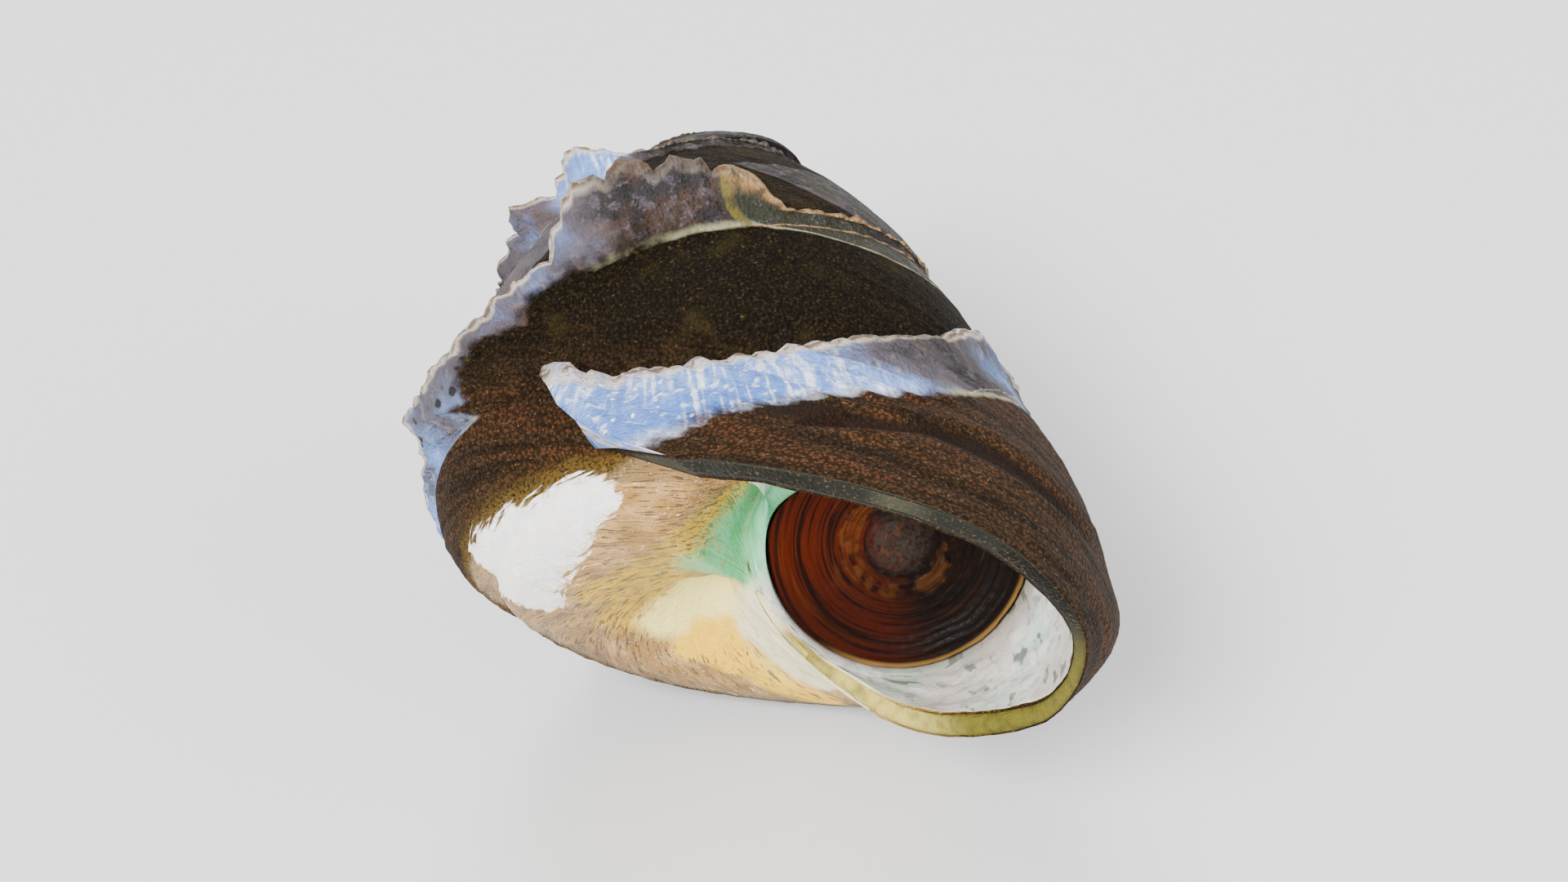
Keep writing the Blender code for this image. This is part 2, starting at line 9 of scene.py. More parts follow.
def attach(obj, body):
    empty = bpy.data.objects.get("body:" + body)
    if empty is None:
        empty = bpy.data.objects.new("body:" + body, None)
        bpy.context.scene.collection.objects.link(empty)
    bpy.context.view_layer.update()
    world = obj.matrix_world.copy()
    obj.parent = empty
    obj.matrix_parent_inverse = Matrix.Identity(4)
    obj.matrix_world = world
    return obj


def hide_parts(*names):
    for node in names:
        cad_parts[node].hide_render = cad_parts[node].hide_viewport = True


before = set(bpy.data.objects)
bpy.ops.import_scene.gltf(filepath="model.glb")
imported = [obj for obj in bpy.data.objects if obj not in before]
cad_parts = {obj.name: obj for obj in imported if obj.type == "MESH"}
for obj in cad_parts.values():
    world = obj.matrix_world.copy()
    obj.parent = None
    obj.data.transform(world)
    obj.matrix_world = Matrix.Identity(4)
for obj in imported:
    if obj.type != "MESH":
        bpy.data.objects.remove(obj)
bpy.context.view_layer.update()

bl_info = {
    "name": "Top snail shell",
    "version": (1, 0, 0),
    "blender": (4, 5, 0),
    "location": "3D View > Sidebar > Shell",
    "description": "Builds the fine surface of a top snail's shell with its horny lid",
    "category": "Add Mesh",
}

# Growth figures, in units of UNIT metres and degrees, the same as the solids have
UNIT = 0.0215
MM = 0.001 / UNIT
JOINT_AZIMUTH = 120.3
SUTURE_TURN = (-1800, -1440, -1080, -900, -720, -630, -540, -450, -360, -270, -180, -90, 0, 60)
SUTURE_RADIUS = (0.03, 0.062, 0.128, 0.198, 0.3, 0.346, 0.406, 0.461, 0.537, 0.631, 0.59, 0.526, 0.472, 0.43)
SUTURE_DROP = (0.215, 0.232, 0.278, 0.34, 0.452, 0.557, 0.667, 0.761, 0.815, 0.96, 1.017, 1.068, 1.154, 1.215)
GUIDE_TURN = (-360, -315, -270, -225, -180, -135, -90, -45, 0, 60)
GUIDE_RADIUS = (0.472, 0.51, 0.532, 0.552, 0.568, 0.586, 0.643, 0.822, 1.034, 1.284)
GUIDE_DROP = (1.154, 1.131, 1.105, 1.163, 1.271, 1.404, 1.555, 1.737, 1.973, 2.237)
GUIDE_SHARE = 0.42
# Section of a whorl: shares of its knots, face knots, swelling of the face and its bulge by growth turn
SECTION_KNOTS = (0, 0.14, 0.295, GUIDE_SHARE, 0.53, 0.66, 0.84, 1)
FACE_KNOTS = (0.33, 0.7)
SWELL = 0.05
BULGE = 0.03
BULGE_TURN = -275.0
BULGE_SPREAD = 38.0
# Base: radii as shares of the guide's, and depths below it as shares of the whorl's size
BASE_RADIUS = (0.974, 0.759, 0.4, 0.02)
BASE_DEPTH = (0.164, 0.276, 0.286, 0.291)
GROWTH_TURN = (-1800, -360, -270, -180, -90, 0, 90)
GROWTH_SIZE = (0.43, 0.469, 0.392, 0.641, 0.891, 1.105, 1.105)
# How far each share of the lip lags behind its joint, degrees
LAG_SHARE = (0, 0.091, 0.182, 0.273, 0.364, GUIDE_SHARE, 0.545, 0.636, 0.727, 0.818, 0.909, 1)
LAG = (0, 11, 23.5, 36.5, 50.5, 60, 78.5, 92.5, 106.5, 120.5, 134.5, 148)
TIP_SHIFT = 0.050  # to the side, over the next turns
TIP_TURNS = (-720, -980)
TIP_CAP = 0.012  # height of the rounded cap
NORMAL_TURN = 0.5  # step of growth and of share by which a normal is taken
NORMAL_SHARE = 0.004

# Crest along the suture: growth angle, reach and rise in millimetres, share of the face at its foot
CREST = (
    (-1800, 0.12, 0.05, 0.06), (-1000, 0.15, 0.1, 0.06), (-800, 0.2, 0.1, 0.05), (-745, 0.25, 0.15, 0.05),
    (-733, 0.35, 0.5, 0.05), (-727, 0.6, 1, 0.05), (-720, 0.8, 1.8, 0.06), (-713, 0.7, 1.6, 0.06),
    (-707, 0.6, 0.5, 0.06), (-697, 1.9, 0.7, 0.08), (-690, 1.2, 0.5, 0.08), (-675, 1.35, 0.3, 0.08),
    (-660, 1.2, 0.3, 0.08), (-640, 0.5, 0.2, 0.06), (-560, 0.35, 0.15, 0.05), (-480, 0.2, 0.1, 0.04),
    (-410, 0.35, 0.25, 0.04), (-405, 0.6, 1.8, 0.04), (-390, 0.9, 2.6, 0.04), (-375, 1.1, 3.2, 0.05),
    (-367, 1.1, 2.6, 0.05), (-361, 0.6, 0.8, 0.06), (-345, 0.5, 0.9, 0.11), (-335, 0.8, 0.7, 0.18),
    (-325, 1.15, 0.5, 0.2), (-317, 1.25, 0.6, 0.2), (-311, 0.4, 0.2, 0.1), (-300, 0.32, 0.15, 0.06),
    (-250, 0.35, 0.2, 0.06), (-242, 1.6, 0.4, 0.1), (-235, 1.7, 0.4, 0.1), (-228, 0.4, 0.2, 0.08),
    (-192, 0.4, 0.2, 0.08), (-185, 1.7, 0.4, 0.1), (-178, 1.6, 0.4, 0.1), (-170, 0.35, 0.2, 0.06),
    (-112, 0.2, 0.15, 0.06), (-104, 0.22, 0.4, 0.07), (-97, 0.25, 1, 0.08), (-90, 0.4, 1.6, 0.08),
    (-84, 0.5, 1.1, 0.09), (-75, 0.6, 0.3, 0.1), (-60, 0.5, 0.15, 0.13), (-45, 0.5, 0.1, 0.17),
    (-35, 0.55, 0.2, 0.18), (-22, 0.75, 0.8, 0.18), (-10, 0.9, 1.6, 0.18), (-5, 1.05, 2.4, 0.17),
    (0, 1.5, 3.6, 0.17),
)
CREST_SHARES = (0.008, 0.016, 0.024)  # of the whorl, from which floor, wall and rim rise
CREST_FACE = 0.45  # of the foot's share, from which the face rises
CREST_AFTER = 0.125  # of the whorl's face, where the crest's curve has its last control
# Lines of the crest from the gutter's floor to its foot: shares of reach, rise, wall and scroll
CREST_LINES = ((0.3, 0.05, 0, 0.1), (1, 1, 1, 0.8), (1, 1, 0, 1), (0.85, 0.35, 0, 0.5), (0.15, 0, 0, 0))
CREST_WALL = 0.70  # thickness, millimetres
CREST_WALL_SHARE = 0.45  # of the reach at most
CREST_DIP = 0.15  # of the inner wall under the rim, as a share of its thickness
SCROLL_LEAD = 3.4  # degrees by which the crest leads the lip, and over which it comes to that
SCROLL_LENGTH = 15.0
# The lip's edge by share: degrees by which it runs out, then by which its inner end runs back up the pillar
FLARE_SHARES = (0.1, 0.35, 0.55, 0.7, 0.8, 0.89, 1)
FLARE = (-2, -1.5, 2, 4, 8, 9, 2)
FLARE_LENGTH = 5.0
RETREAT_SHARES = (0, 0.8, 0.85, 0.9, 0.95, 1)
RETREAT = (0, 0, 3, 15, 50, 95)
RETREAT_LENGTH = 170.0

# Hollow in front of the lid: a funnel from the lip to the lid's seat, then a blind bowl
LIP_WALL_SHARES = (0.17, 0.42, 0.5, 0.62, 0.72, 0.86, 1)
LIP_WALL = (1, 0.95, 0.75, 0.65, 0.9, 1, 0.8)  # thickness, millimetres
MOUTH_TURN = -1.0  # growth turn at which the mouth's inner edge is measured
LOOP_SPAN = 354.0  # degrees round the lid that a row of the hollow covers
LOOP_EVEN = 0.30  # share by which its points are spaced evenly
FUNNEL_CROWD = 0.35  # how far the funnel's rows crowd towards the seat
FUNNEL_BOW = 0.07  # outward bow of the funnel, as a share of its length
SEAT_GAP = 0.12  # between the lid's rim and its seat, millimetres
SEAT_RISE = 0.35  # of the seat's front edge above the lid's plane
SEAT_EDGE = 0.25  # from the seat to the mouth's inner edge where they come together
SEAT_NEAR = 2.5  # height over the lid's plane below which they are kept apart
SEAT_ANGLE = 150.0  # degrees round the lid at which the mouth's slit runs off
# Rings behind the funnel: share of the seat's radius and height over the lid's plane, millimetres
BOWL = ((1, -0.35), (0.985, -1.45), (0.9, -1.95), (0.62, -2.45), (0.3, -2.65))

# Pad round the lid's inner side: by angle round the lid, the reach of the bare skin's edge and of the pad's
ROOM_ANGLE = (0, 130, 144, 156, 180, 197, 206, 230, 250, 360)
ROOM_INNER = (6, 6, 4.7, 3.9, 4, 5.2, 5.6, 6, 6.2, 6.2)
ROOM_EDGE = (6, 6, 6.1, 6.1, 6.1, 6.1, 6.15, 6.2, 6.2, 6.2)
ROOM_END = 9.0  # reach within which the skin is moved, and the most of that move as a share
ROOM_LIMIT = 1.15
ROOM_DEPTH = (-10, -7)  # heights over which the move begins
PAD_SLOPE = 1.5  # fall of the pad for a millimetre outwards, and its rounding into the skin
PAD_ROUND = 0.5
PAD_REACH = (9.4, 6.4)  # reach where the pad begins and where it is whole
PAD_START = (132, 149)  # angles round the lid over which it rises, and falls again
PAD_STOP = (268, 252)

FACE_LENGTH = 25.0  # millimetres of skin for a whole share

# Fineness of the visible surface
ROW_STEP = 1.0  # degrees of growth between rows
ROWS = 1530
WHORL_ROWS = 300
CREST_COLUMNS = 15
FACE_COLUMNS = 24
LOWER_COLUMNS = 36
FUNNEL_ROWS = 28
PILLAR_COLUMNS = 6
BEVEL_ROWS = 3
BEVEL_TURN = -2.0  # the lip's bevel bulges along the skin from this growth turn, by this share of it
BEVEL_BULGE = 0.10
HOLLOW_TURN = -10.0  # growth turn at the end of the hollow, and its mask's value at the start
HOLLOW_START = 0.2

# How the shell lies, the same as the solids
DOWN = (-0.009, 0.964, -0.267)
FRONT = (0, -0.758, -0.652)
MIDDLE = (-0.37, 12.05, -25.91)

# Round horny lid, in millimetres of the growth frame
LID_RADIUS = 5.28
LID_THICKNESS = 0.55
LID_DISH = 0.35
LID_CENTRE = (5.35, -1.91, -28.5)
LID_FACING = (-0.089, -0.682, -0.726)
LID_RIGHT = (0.951, 0.159, -0.266)
LID_NOTCH = (147, 15, 0.15)  # angle, half width and depth share of the lid's worn side
LID_SIDES = 300
LID_RAGGED = 0.004  # of the radius, roughness of its edge
LID_RING = 0.36  # millimetres between rings
LID_CORE = 0.95  # radius of the knobbly middle
LID_CRUST = (2.05, 0.24)  # radius and half width of the crusty ring
LID_HEIGHTS = (0.018, 0.06, 0.07, 0.008)  # of the rings, the middle, the crust and the grain
LID_BEVEL = 0.35  # of the thickness, at the back's edge
# Front face from the middle outwards: share of the radius and height over the deepest place, shares of the dish
LID_PROFILE = ((0, 0.3), (0.1, 0.34), (0.19, 0.1), (0.3, 0), (0.48, 0.04), (0.75, 0.34), (0.94, 0.9), (1, 0.92))
LID_RINGS = 74

# Limy band under the suture: its lower edge by growth angle, as a share of the whorl's face
BAND_EDGE = (
    (-1800, 0.06), (-1000, 0.06), (-800, 0.055), (-735, 0.05), (-712, 0.12), (-700, 0.2), (-688, 0.28),
    (-665, 0.34), (-650, 0.3), (-635, 0.12), (-560, 0.12), (-480, 0.14), (-440, 0.17), (-422, 0.13), (-408, 0.07),
    (-401, 0.048), (-388, 0.043), (-362, 0.05), (-352, 0.07), (-343, 0.105), (-330, 0.148), (-320, 0.178),
    (-313, 0.162), (-305, 0.12), (-295, 0.08), (-250, 0.1), (-180, 0.12), (-112, 0.08), (-90, 0.11), (-75, 0.125),
    (-60, 0.145), (-45, 0.165), (-35, 0.17), (-24, 0.165), (-17, 0.162), (-6, 0.158), (0, 0.158),
)
# Where the face of the old whorls is worn grey from, by growth angle, as a share of it
WORN_EDGE = ((-1800, 0.22), (-1000, 0.27), (-800, 0.21), (-742, 0.2), (-738, 0.32), (-733, 1.2), (0, 1.2))
# How blue the band is, by growth angle
BLUE = (
    (-1800, 0.05), (-760, 0.05), (-738, 0.15), (-730, 0.8), (-714, 0.6), (-700, 0.2), (-690, 0.35), (-680, 0.25),
    (-640, 0.1), (-430, 0), (-378, 0), (-368, 0.35), (-355, 0.4), (-343, 0.28), (-330, 0.38), (-315, 0.42),
    (-303, 0.5), (-240, 0.9), (-112, 0.3), (-92, 0.4), (-84, 0.45), (-72, 0.15), (-58, 0.25), (-47, 0.45),
    (-36, 0.75), (-25, 1), (0, 1),
)
# How green and olive the band is, by growth angle
OLIVE = (
    (-1800, 0.42), (-745, 0.42), (-735, 0.1), (-460, 0.45), (-425, 0.6), (-404, 0.85), (-400.5, 1), (-399.5, 2),
    (-398, 2), (-397, 0.25), (-370, 0.1), (-340, 0.15), (-300, 0.5), (-120, 0.4), (-70, 0.35), (-40, 0.05), (0, 0),
)
# Where the horny skin ends and the pale base begins, and how rusty the skin is, by growth angle
BASE_EDGE = (
    (-420, 0.52), (-300, 0.5), (-288, 0.493), (-282, 0.474), (-273, 0.43), (-266, 0.39), (-255, 0.31),
    (-248, 0.29), (-235, 0.32), (-224, 0.42), (-210, 0.5), (-200, 0.545), (-170, 0.565), (-150, 0.585),
    (-130, 0.605), (-105, 0.635), (0, 0.8),
)
RUST = (
    (-1800, 0.9), (-1000, 0.8), (-900, 0.4), (-725, 0.25), (-420, 0.1), (-362, 0.05), (-345, 0.25), (-325, 0.55),
    (-310, 0.8), (-285, 1), (-240, 0.9), (-180, 0.8), (-110, 0.7), (-60, 0.8), (0, 0.75),
)
# Line of the furrow behind the lip: share of the whorl and growth angle
FURROW = ((0.1, -19), (0.142, -20), (0.183, -19), (0.217, -23), (0.244, -29), (0.339, -31), (0.42, -32))
# Patches of colour on the base: place in millimetres of the growth frame and radius
PATCHES = {
    "chalk": (
        (-5.6, -7.9, -26.4, 1), (-6.6, -7.2, -26.2, 1.3), (-7.6, -6.1, -26.2, 1.6), (-8.6, -4.8, -26, 1.9),
        (-9.4, -3.4, -25.6, 2.1), (-10.2, -2.2, -25.2, 2), (-11.2, -1, -24.2, 1.3), (-9.4, -0.9, -26, 1.3),
        (-9.4, -5, -25.2, 1.2), (-10.8, -2.6, -24.6, 1.4),
    ),
    "yellow": (
        (-6.1, -1, -26.8, 1.9), (-5.4, 2, -26.2, 2.3), (-2.5, -4.6, -27.4, 1.8), (-3.5, -2.8, -27.3, 2),
        (-1.8, -4.9, -27, 1.5), (-4.6, 0.4, -26.4, 2.2), (-4.5, -2.2, -27.1, 2), (-0.8, -5.2, -26.6, 1.2),
    ),
    "mint": (
        (-2.2, -2.6, -27.6, 1.6), (-1, -2.3, -26.9, 1.9), (-0.8, -3.4, -26.5, 1.9), (0.1, -3.7, -26.9, 1.9),
        (0.7, -4.3, -26.4, 1.8), (1.9, -5, -26.4, 1.5), (-1.4, -1.4, -27.6, 1.4),
    ),
    "cream": (
        (-4.1, 2.6, -26.2, 1.6), (-2.8, 2.9, -26.6, 1.9), (-3.7, 4.2, -26.7, 1.5), (-1.9, 1.6, -26.9, 1.5),
        (-2.9, 1.5, -26.2, 1.7), (-4.9, 3.5, -26.3, 1.3),
    ),
    "orange": (
        (-3.9, 5.2, -26.9, 1.2), (-2.9, 5.1, -27.2, 1.5), (-2.5, 6.1, -27.6, 1.3), (-2, 3.8, -27.4, 1.2),
        (-3.1, 4.4, -27, 1.2), (-2, 5.1, -27.7, 1.3),
    ),
    "amber": (
        (-1.6, 5.1, -27.9, 0.9), (-1.2, 6.2, -28.3, 1.1), (-0.8, 7, -28.6, 1.2), (-0.1, 7.6, -29, 1.2),
        (0.8, 8.4, -29.3, 1),
    ),
}
# Mother-of-pearl round the lid: by angle round the lid, how far it reaches over the base, millimetres
PEARL_ANGLE = (0, 150, 175, 190, 198, 205, 212, 227, 238, 247, 256, 264, 270, 360)
PEARL_REACH = (5, 5, 5.2, 5.7, 6.3, 7, 7.7, 8.7, 9.6, 9.2, 8.4, 6.5, 5, 5)

# Relief and fields, by growth turn, share of the whorl or share across the crest
YOUNG_TURNS = (-75, -50)  # over which the newest growth begins
FURROW_BELLS = ((0, 4.5, 1), (-10, 5, -0.45), (9, 4, -0.4))  # place, width and depth over the furrow
FURROW_START = (0.09, 0.14)  # shares of the whorl over which it sets in, and runs out again
FURROW_STOP = (0.44, 0.38)
FURROW_WIDTH = 6.0  # of its dark skin, from this turn on and over these shares
FURROW_TURN = -60.0
FURROW_SKIN = ((0.1, 0.14), (0.42, 0.36))
FOLD_BELL = (-7, 2.2)  # fold nearer the lip: place and width, start, and depth beside the furrow's
FOLD_START = (0.25, 0.33)
FOLD_DEPTH = 0.35
BASE_RAMP = (0, 0.05)  # share over which the smooth base sets in behind its edge
ROLL_TURNS = (-13, -2)  # over which the crest's rolled rim grows thick, and where the rim lies
RIM_BELL = (0.58, 0.07)
RIDGE_START = (0, 1 / 6)  # over which the crest's ridges set in
FOOT_RAMP = (0.9, 0.98)  # over which the crest's foot begins
OLD_TURNS = (-1200, -700)  # over which the relief of the worn old whorls grows whole, and the least of it
OLD_RELIEF = 0.3
# Fields of the finish: the most that one holds, and millimetres taken off it in the hollow and on the lip
FIELD_LIMIT = 3.0
INNER_LOSS = 4.0
# Where colours end near the lid: angles round it, depths behind it for the painted contact shade and the pearl,
# width of that painted shade round it, and shares of the lip
PATCH_ANGLES = (140, 215)
CONTACT_SHADE_DEPTH = -4.0
CONTACT_SHADE_WIDTH = 0.9
PEARL_DEPTH = -7.0
PEARL_LIP = (0.945, 0.985)

# Camera of the photo's view, metres
CAMERA_PLACE = (0.0001, -0.06822, 0.07728)
CAMERA_RIGHT = (0.9711, -0.1775, -0.1593)
CAMERA_UP = (0.2374, 0.6558, 0.7166)
CAMERA_LENS = 50.92
CAMERA_SENSOR = 36.0  # millimetres, as the lens
CAMERA_NEAR = 0.005

# Studio: half the floor's width in metres, the paper's tooth to a millimetre and how much lighter it is, the sky
FLOOR_HALF = 3.0
PAPER_TOOTH = 0.9
PAPER_LIGHT = 1.03
SKY_COLOUR = "#eceef0"
SKY_LIGHT = 0.55
LAMP_AIM = (0, 0, 0.01)
# Lamps: name, place and energy, and width of the soft panel
LAMPS = (
    ("key", (-0.20, -0.25, 0.40), 3.2, 0.22),
    ("fill", (0.35, -0.20, 0.22), 1.0, 0.30),
    ("back", (0.05, 0.35, 0.35), 1.2, 0.25),
)


def ramp(value, low, high):
    """Straight step that rises from 0 at low to 1 at high."""
    return np.clip((value - low) / (high - low), 0, 1)


def smooth(t):
    """Soft step of a share t: three t squared less two t cubed."""
    return t * t * (3.0 - 2.0 * t)


def bell(value, middle, width):
    """Bell curve: the exponential of minus the squared distance from the middle over the width."""
    return np.exp(-(((value - middle) / width) ** 2))


def hermite(x, y, q):
    """Smooth curve through the points (x, y): cubic pieces whose slopes are the mean of both sides."""
    x = np.asarray(x, float)
    y = np.asarray(y, float)
    q = np.asarray(q, float)
    wide = (..., *([None] * (y.ndim - 1)))
    step = np.diff(x)
    rise = np.diff(y, axis=0) / step[wide]
    slope = np.empty_like(y)
    slope[0] = rise[0]
    slope[-1] = rise[-1]
    slope[1:-1] = (rise[:-1] * step[1:][wide] + rise[1:] * step[:-1][wide]) / (step[:-1] + step[1:])[wide]
    i = np.clip(np.searchsorted(x, q, side="right") - 1, 0, len(x) - 2)
    t = ((q - x[i]) / step[i])[wide]
    h = step[i][wide]
    start = y[i] * (2 * t**3 - 3 * t**2 + 1) + slope[i] * h * (t**3 - 2 * t**2 + t)
    end = y[i + 1] * (3 * t**2 - 2 * t**3) + slope[i + 1] * h * (t**3 - t**2)
    return start + end


def suture(turn):
    """Radius and drop of the suture spiral: smooth curves through its figures by growth turn."""
    q = np.clip(turn, SUTURE_TURN[0], SUTURE_TURN[-1])
    return hermite(SUTURE_TURN, SUTURE_RADIUS, q), hermite(SUTURE_TURN, SUTURE_DROP, q)


def guide(turn):
    """Radius and drop of the line where the next whorl joins: its suture, or the last whorl's own figures."""
    q = np.clip(turn, GUIDE_TURN[0], GUIDE_TURN[-1])
    early_r, early_h = suture(np.minimum(turn, -360.0) + 360.0)
    late = turn > -360.0
    return (np.where(late, hermite(GUIDE_TURN, GUIDE_RADIUS, q), early_r),
            np.where(late, hermite(GUIDE_TURN, GUIDE_DROP, q), early_h))


def section(turn, share):
    """Radius and drop of the whorl's skin: a smooth arc from suture by guide to axis, weighted by share."""
    r0, h0 = suture(turn)
    r1, h1 = guide(turn)
    dr = r1 - r0
    dh = h1 - h0
    size = hermite(GROWTH_TURN, GROWTH_SIZE, np.clip(turn, GROWTH_TURN[0], GROWTH_TURN[-1]))
    bulge = BULGE * np.exp(-(((turn - BULGE_TURN) / BULGE_SPREAD) ** 2))
    radii = [r0] + [r0 + knot * dr + SWELL * dh + bulge for knot in FACE_KNOTS] + [r1]
    drops = [h0] + [h0 + knot * dh - SWELL * dr for knot in FACE_KNOTS] + [h1]
    for radius_share, depth in zip(BASE_RADIUS, BASE_DEPTH):
        radii.append(r1 * radius_share)
        drops.append(h1 + depth * size)
    weight = hermite(SECTION_KNOTS, np.eye(len(SECTION_KNOTS)), share)
    r = sum(weight[..., k] * radii[k] for k in range(len(radii)))
    h = sum(weight[..., k] * drops[k] for k in range(len(drops)))
    return r, h


def skin(row_turn, share):
    """Point of the old lip at row_turn: each share lags behind the joint, then radius, drop and angle place it."""
    turn = row_turn - hermite(LAG_SHARE, LAG, share)
    r, h = section(turn, share)
    a = np.radians(turn + JOINT_AZIMUTH)
    shift = TIP_SHIFT * smooth(ramp(turn, *TIP_TURNS))
    return np.stack([r * np.cos(a) + shift, -r * np.sin(a), -h], -1)


def skin_normal(row_turn, share):
    """Outward unit normal of the skin: cross product of two small steps on it."""
    along = skin(row_turn + NORMAL_TURN, share) - skin(row_turn - NORMAL_TURN, share)
    low, high = (np.clip(share + side * NORMAL_SHARE, 0.0, 1.0) for side in (-1, 1))
    n = np.cross(along, skin(row_turn, high) - skin(row_turn, low))
    return n / np.linalg.norm(n, axis=-1, keepdims=True)


def flared(row_turn, share):
    """Growth turn with the lip's edge run out over its last few degrees, and its inner end run back."""
    out = np.interp(share, FLARE_SHARES, FLARE) * ramp(row_turn, -FLARE_LENGTH, 0.0)
    back = np.interp(share, RETREAT_SHARES, RETREAT) * ramp(row_turn, -RETREAT_LENGTH, 0.0)
    return row_turn + out - back


def lid_axes():
    """Right, up and outward directions of the lid in the growth frame."""
    facing = np.array(LID_FACING) / np.linalg.norm(LID_FACING)
    right = np.array(LID_RIGHT) - np.dot(LID_RIGHT, facing) * facing
    right /= np.linalg.norm(right)
    return np.array([right, np.cross(facing, right), facing])


def to_lid(points):
    """Millimetres in the lid's own frame, its outer face towards +Z."""
    return (points / MM - np.array(LID_CENTRE)) @ lid_axes().T


def from_lid(points):
    """Growth units for millimetres in the lid's own frame."""
    return (points @ lid_axes() + np.array(LID_CENTRE)) * MM


def lid_edge(angle):
    """Radius of the lid by the angle round it, in radians: a circle worn in at one side."""
    middle, half, depth = LID_NOTCH
    off = (np.degrees(angle) - middle + 180.0) % 360.0 - 180.0
    return LID_RADIUS * (1.0 - depth * bell(off, 0.0, half))


def make_room(points):
    """Skin near the lid moved outwards so that its edge clears the seat, and raised to a rounded pad."""
    way, reach, z = polar(points)
    angle = np.degrees(way) % 360.0
    inner = np.interp(angle, ROOM_ANGLE, ROOM_INNER)
    wanted = np.interp(angle, ROOM_ANGLE, ROOM_EDGE)
    near = smooth(ramp(z, *ROOM_DEPTH))
    moved = reach + near * (wanted - inner) * np.clip((ROOM_END - reach) / (ROOM_END - inner), 0.0, ROOM_LIMIT)
    top = SEAT_RISE - PAD_SLOPE * (moved - LID_RADIUS - SEAT_GAP)
    lifted = 0.5 * (z + top + np.hypot(z - top, PAD_ROUND))
    fall = smooth(ramp(moved, *PAD_REACH)) * ramp(angle, *PAD_START) * ramp(angle, *PAD_STOP)
    z = z + near * fall * (np.maximum(lifted, z) - z)
    return from_lid(np.stack([moved * np.cos(way), moved * np.sin(way), z], -1))


def waves(points, length, seed, count=9):
    """Smooth noise from -1 to 1: a sum of plane waves of about this length in seeded directions."""
    draw = np.random.default_rng(seed)
    points = points.reshape(points.shape[0], -1)
    total = np.zeros(len(points))
    for _ in range(count):
        direction = draw.normal(size=points.shape[1])
        direction *= math.tau / (length * draw.uniform(0.7, 1.5) * np.linalg.norm(direction))
        total += np.sin(points @ direction + draw.uniform(0.0, math.tau))
    return total / math.sqrt(count * 2.0)


def crest_figures(row_turn):
    """Reach, rise and foot share of the crest by row, between its figures, with a ragged growth edge."""
    turns, *columns = zip(*CREST)
    reach, rise, foot = (np.interp(row_turn, turns, column) for column in columns)
    ragged = 1.0 + 0.10 * waves(row_turn, 9.0, 11) + 0.06 * waves(row_turn, 3.5, 12)
    return reach * MM * ragged, rise * MM * ragged, foot


def crest_surface(row_turn):
    """Crest columns: a smooth curve across suture, gutter floor, inner wall, rim, face and foot of each row."""
    reach, rise, foot = crest_figures(row_turn)
    none = 0.0 * foot
    wall = np.minimum(CREST_WALL * MM, CREST_WALL_SHARE * reach)
    curl = SCROLL_LEAD * np.clip(1.0 + row_turn / SCROLL_LENGTH, 0.0, None) ** 2
    controls = [skin(flared(row_turn, none), none)]
    shares = [share + none for share in CREST_SHARES] + [CREST_FACE * foot, foot]
    for share, (far, high, inward, lead) in zip(shares, CREST_LINES):
        turn = row_turn + lead * curl
        out = reach * far - wall * inward
        a = np.radians(turn - hermite(LAG_SHARE, LAG, share) + JOINT_AZIMUTH)
        up = rise * high - CREST_DIP * wall * inward
        controls.append(skin(turn, share) + np.stack([out * np.cos(a), -out * np.sin(a), up], -1))
    after = foot + (GUIDE_SHARE - foot) * CREST_AFTER
    controls.append(skin(flared(row_turn, after), after))
    q = np.linspace(0, len(controls) - 2, CREST_COLUMNS + 1)[1:]
    return np.swapaxes(hermite(np.arange(len(controls)), np.array(controls), q), 0, 1)


def mouth_loop():
    """The mouth's inner edge: the lip moved in by its wall, round the pillar, back over the whorl before."""
    shares = made_shares(FACE_COLUMNS + LOWER_COLUMNS)
    turn = flared(np.full(len(shares), MOUTH_TURN), shares)
    wall = np.interp(shares, LIP_WALL_SHARES, LIP_WALL) * MM
    outer = skin(turn, shares) - wall[:, None] * skin_normal(turn, shares)
    inner_shares = lower_shares()[1:-1][::-1]
    inner = skin(np.full(len(inner_shares), -WHORL_ROWS * ROW_STEP), inner_shares)
    lip, old = (np.stack(polar(make_room(edge)), -1) for edge in (outer, inner))
    clear = lid_edge(lip[:, 0]) + SEAT_GAP + SEAT_EDGE
    lip[:, 1] = np.where(lip[:, 2] < SEAT_NEAR, np.maximum(lip[:, 1], clear), lip[:, 1])
    lip[:, 0] = np.unwrap(lip[:, 0])
    old[:, 0] = np.unwrap(old[:, 0])
    old[:, 0] -= math.tau * np.ceil((old[0, 0] - lip[-1, 0]) / math.tau)
    t = np.linspace(0, 1, PILLAR_COLUMNS + 2)[1:-1, None]
    angle, reach, height = np.concatenate([lip, lip[-1] * (1 - t) + old[0] * t, old]).T
    return from_lid(np.stack([reach * np.cos(angle), reach * np.sin(angle), height], -1))


def polar(points):
    """Angle in radians, reach and height in millimetres of points in the lid's own frame."""
    x, y, z = np.moveaxis(to_lid(points), -1, 0)
    return np.arctan2(y, x), np.hypot(x, y), z


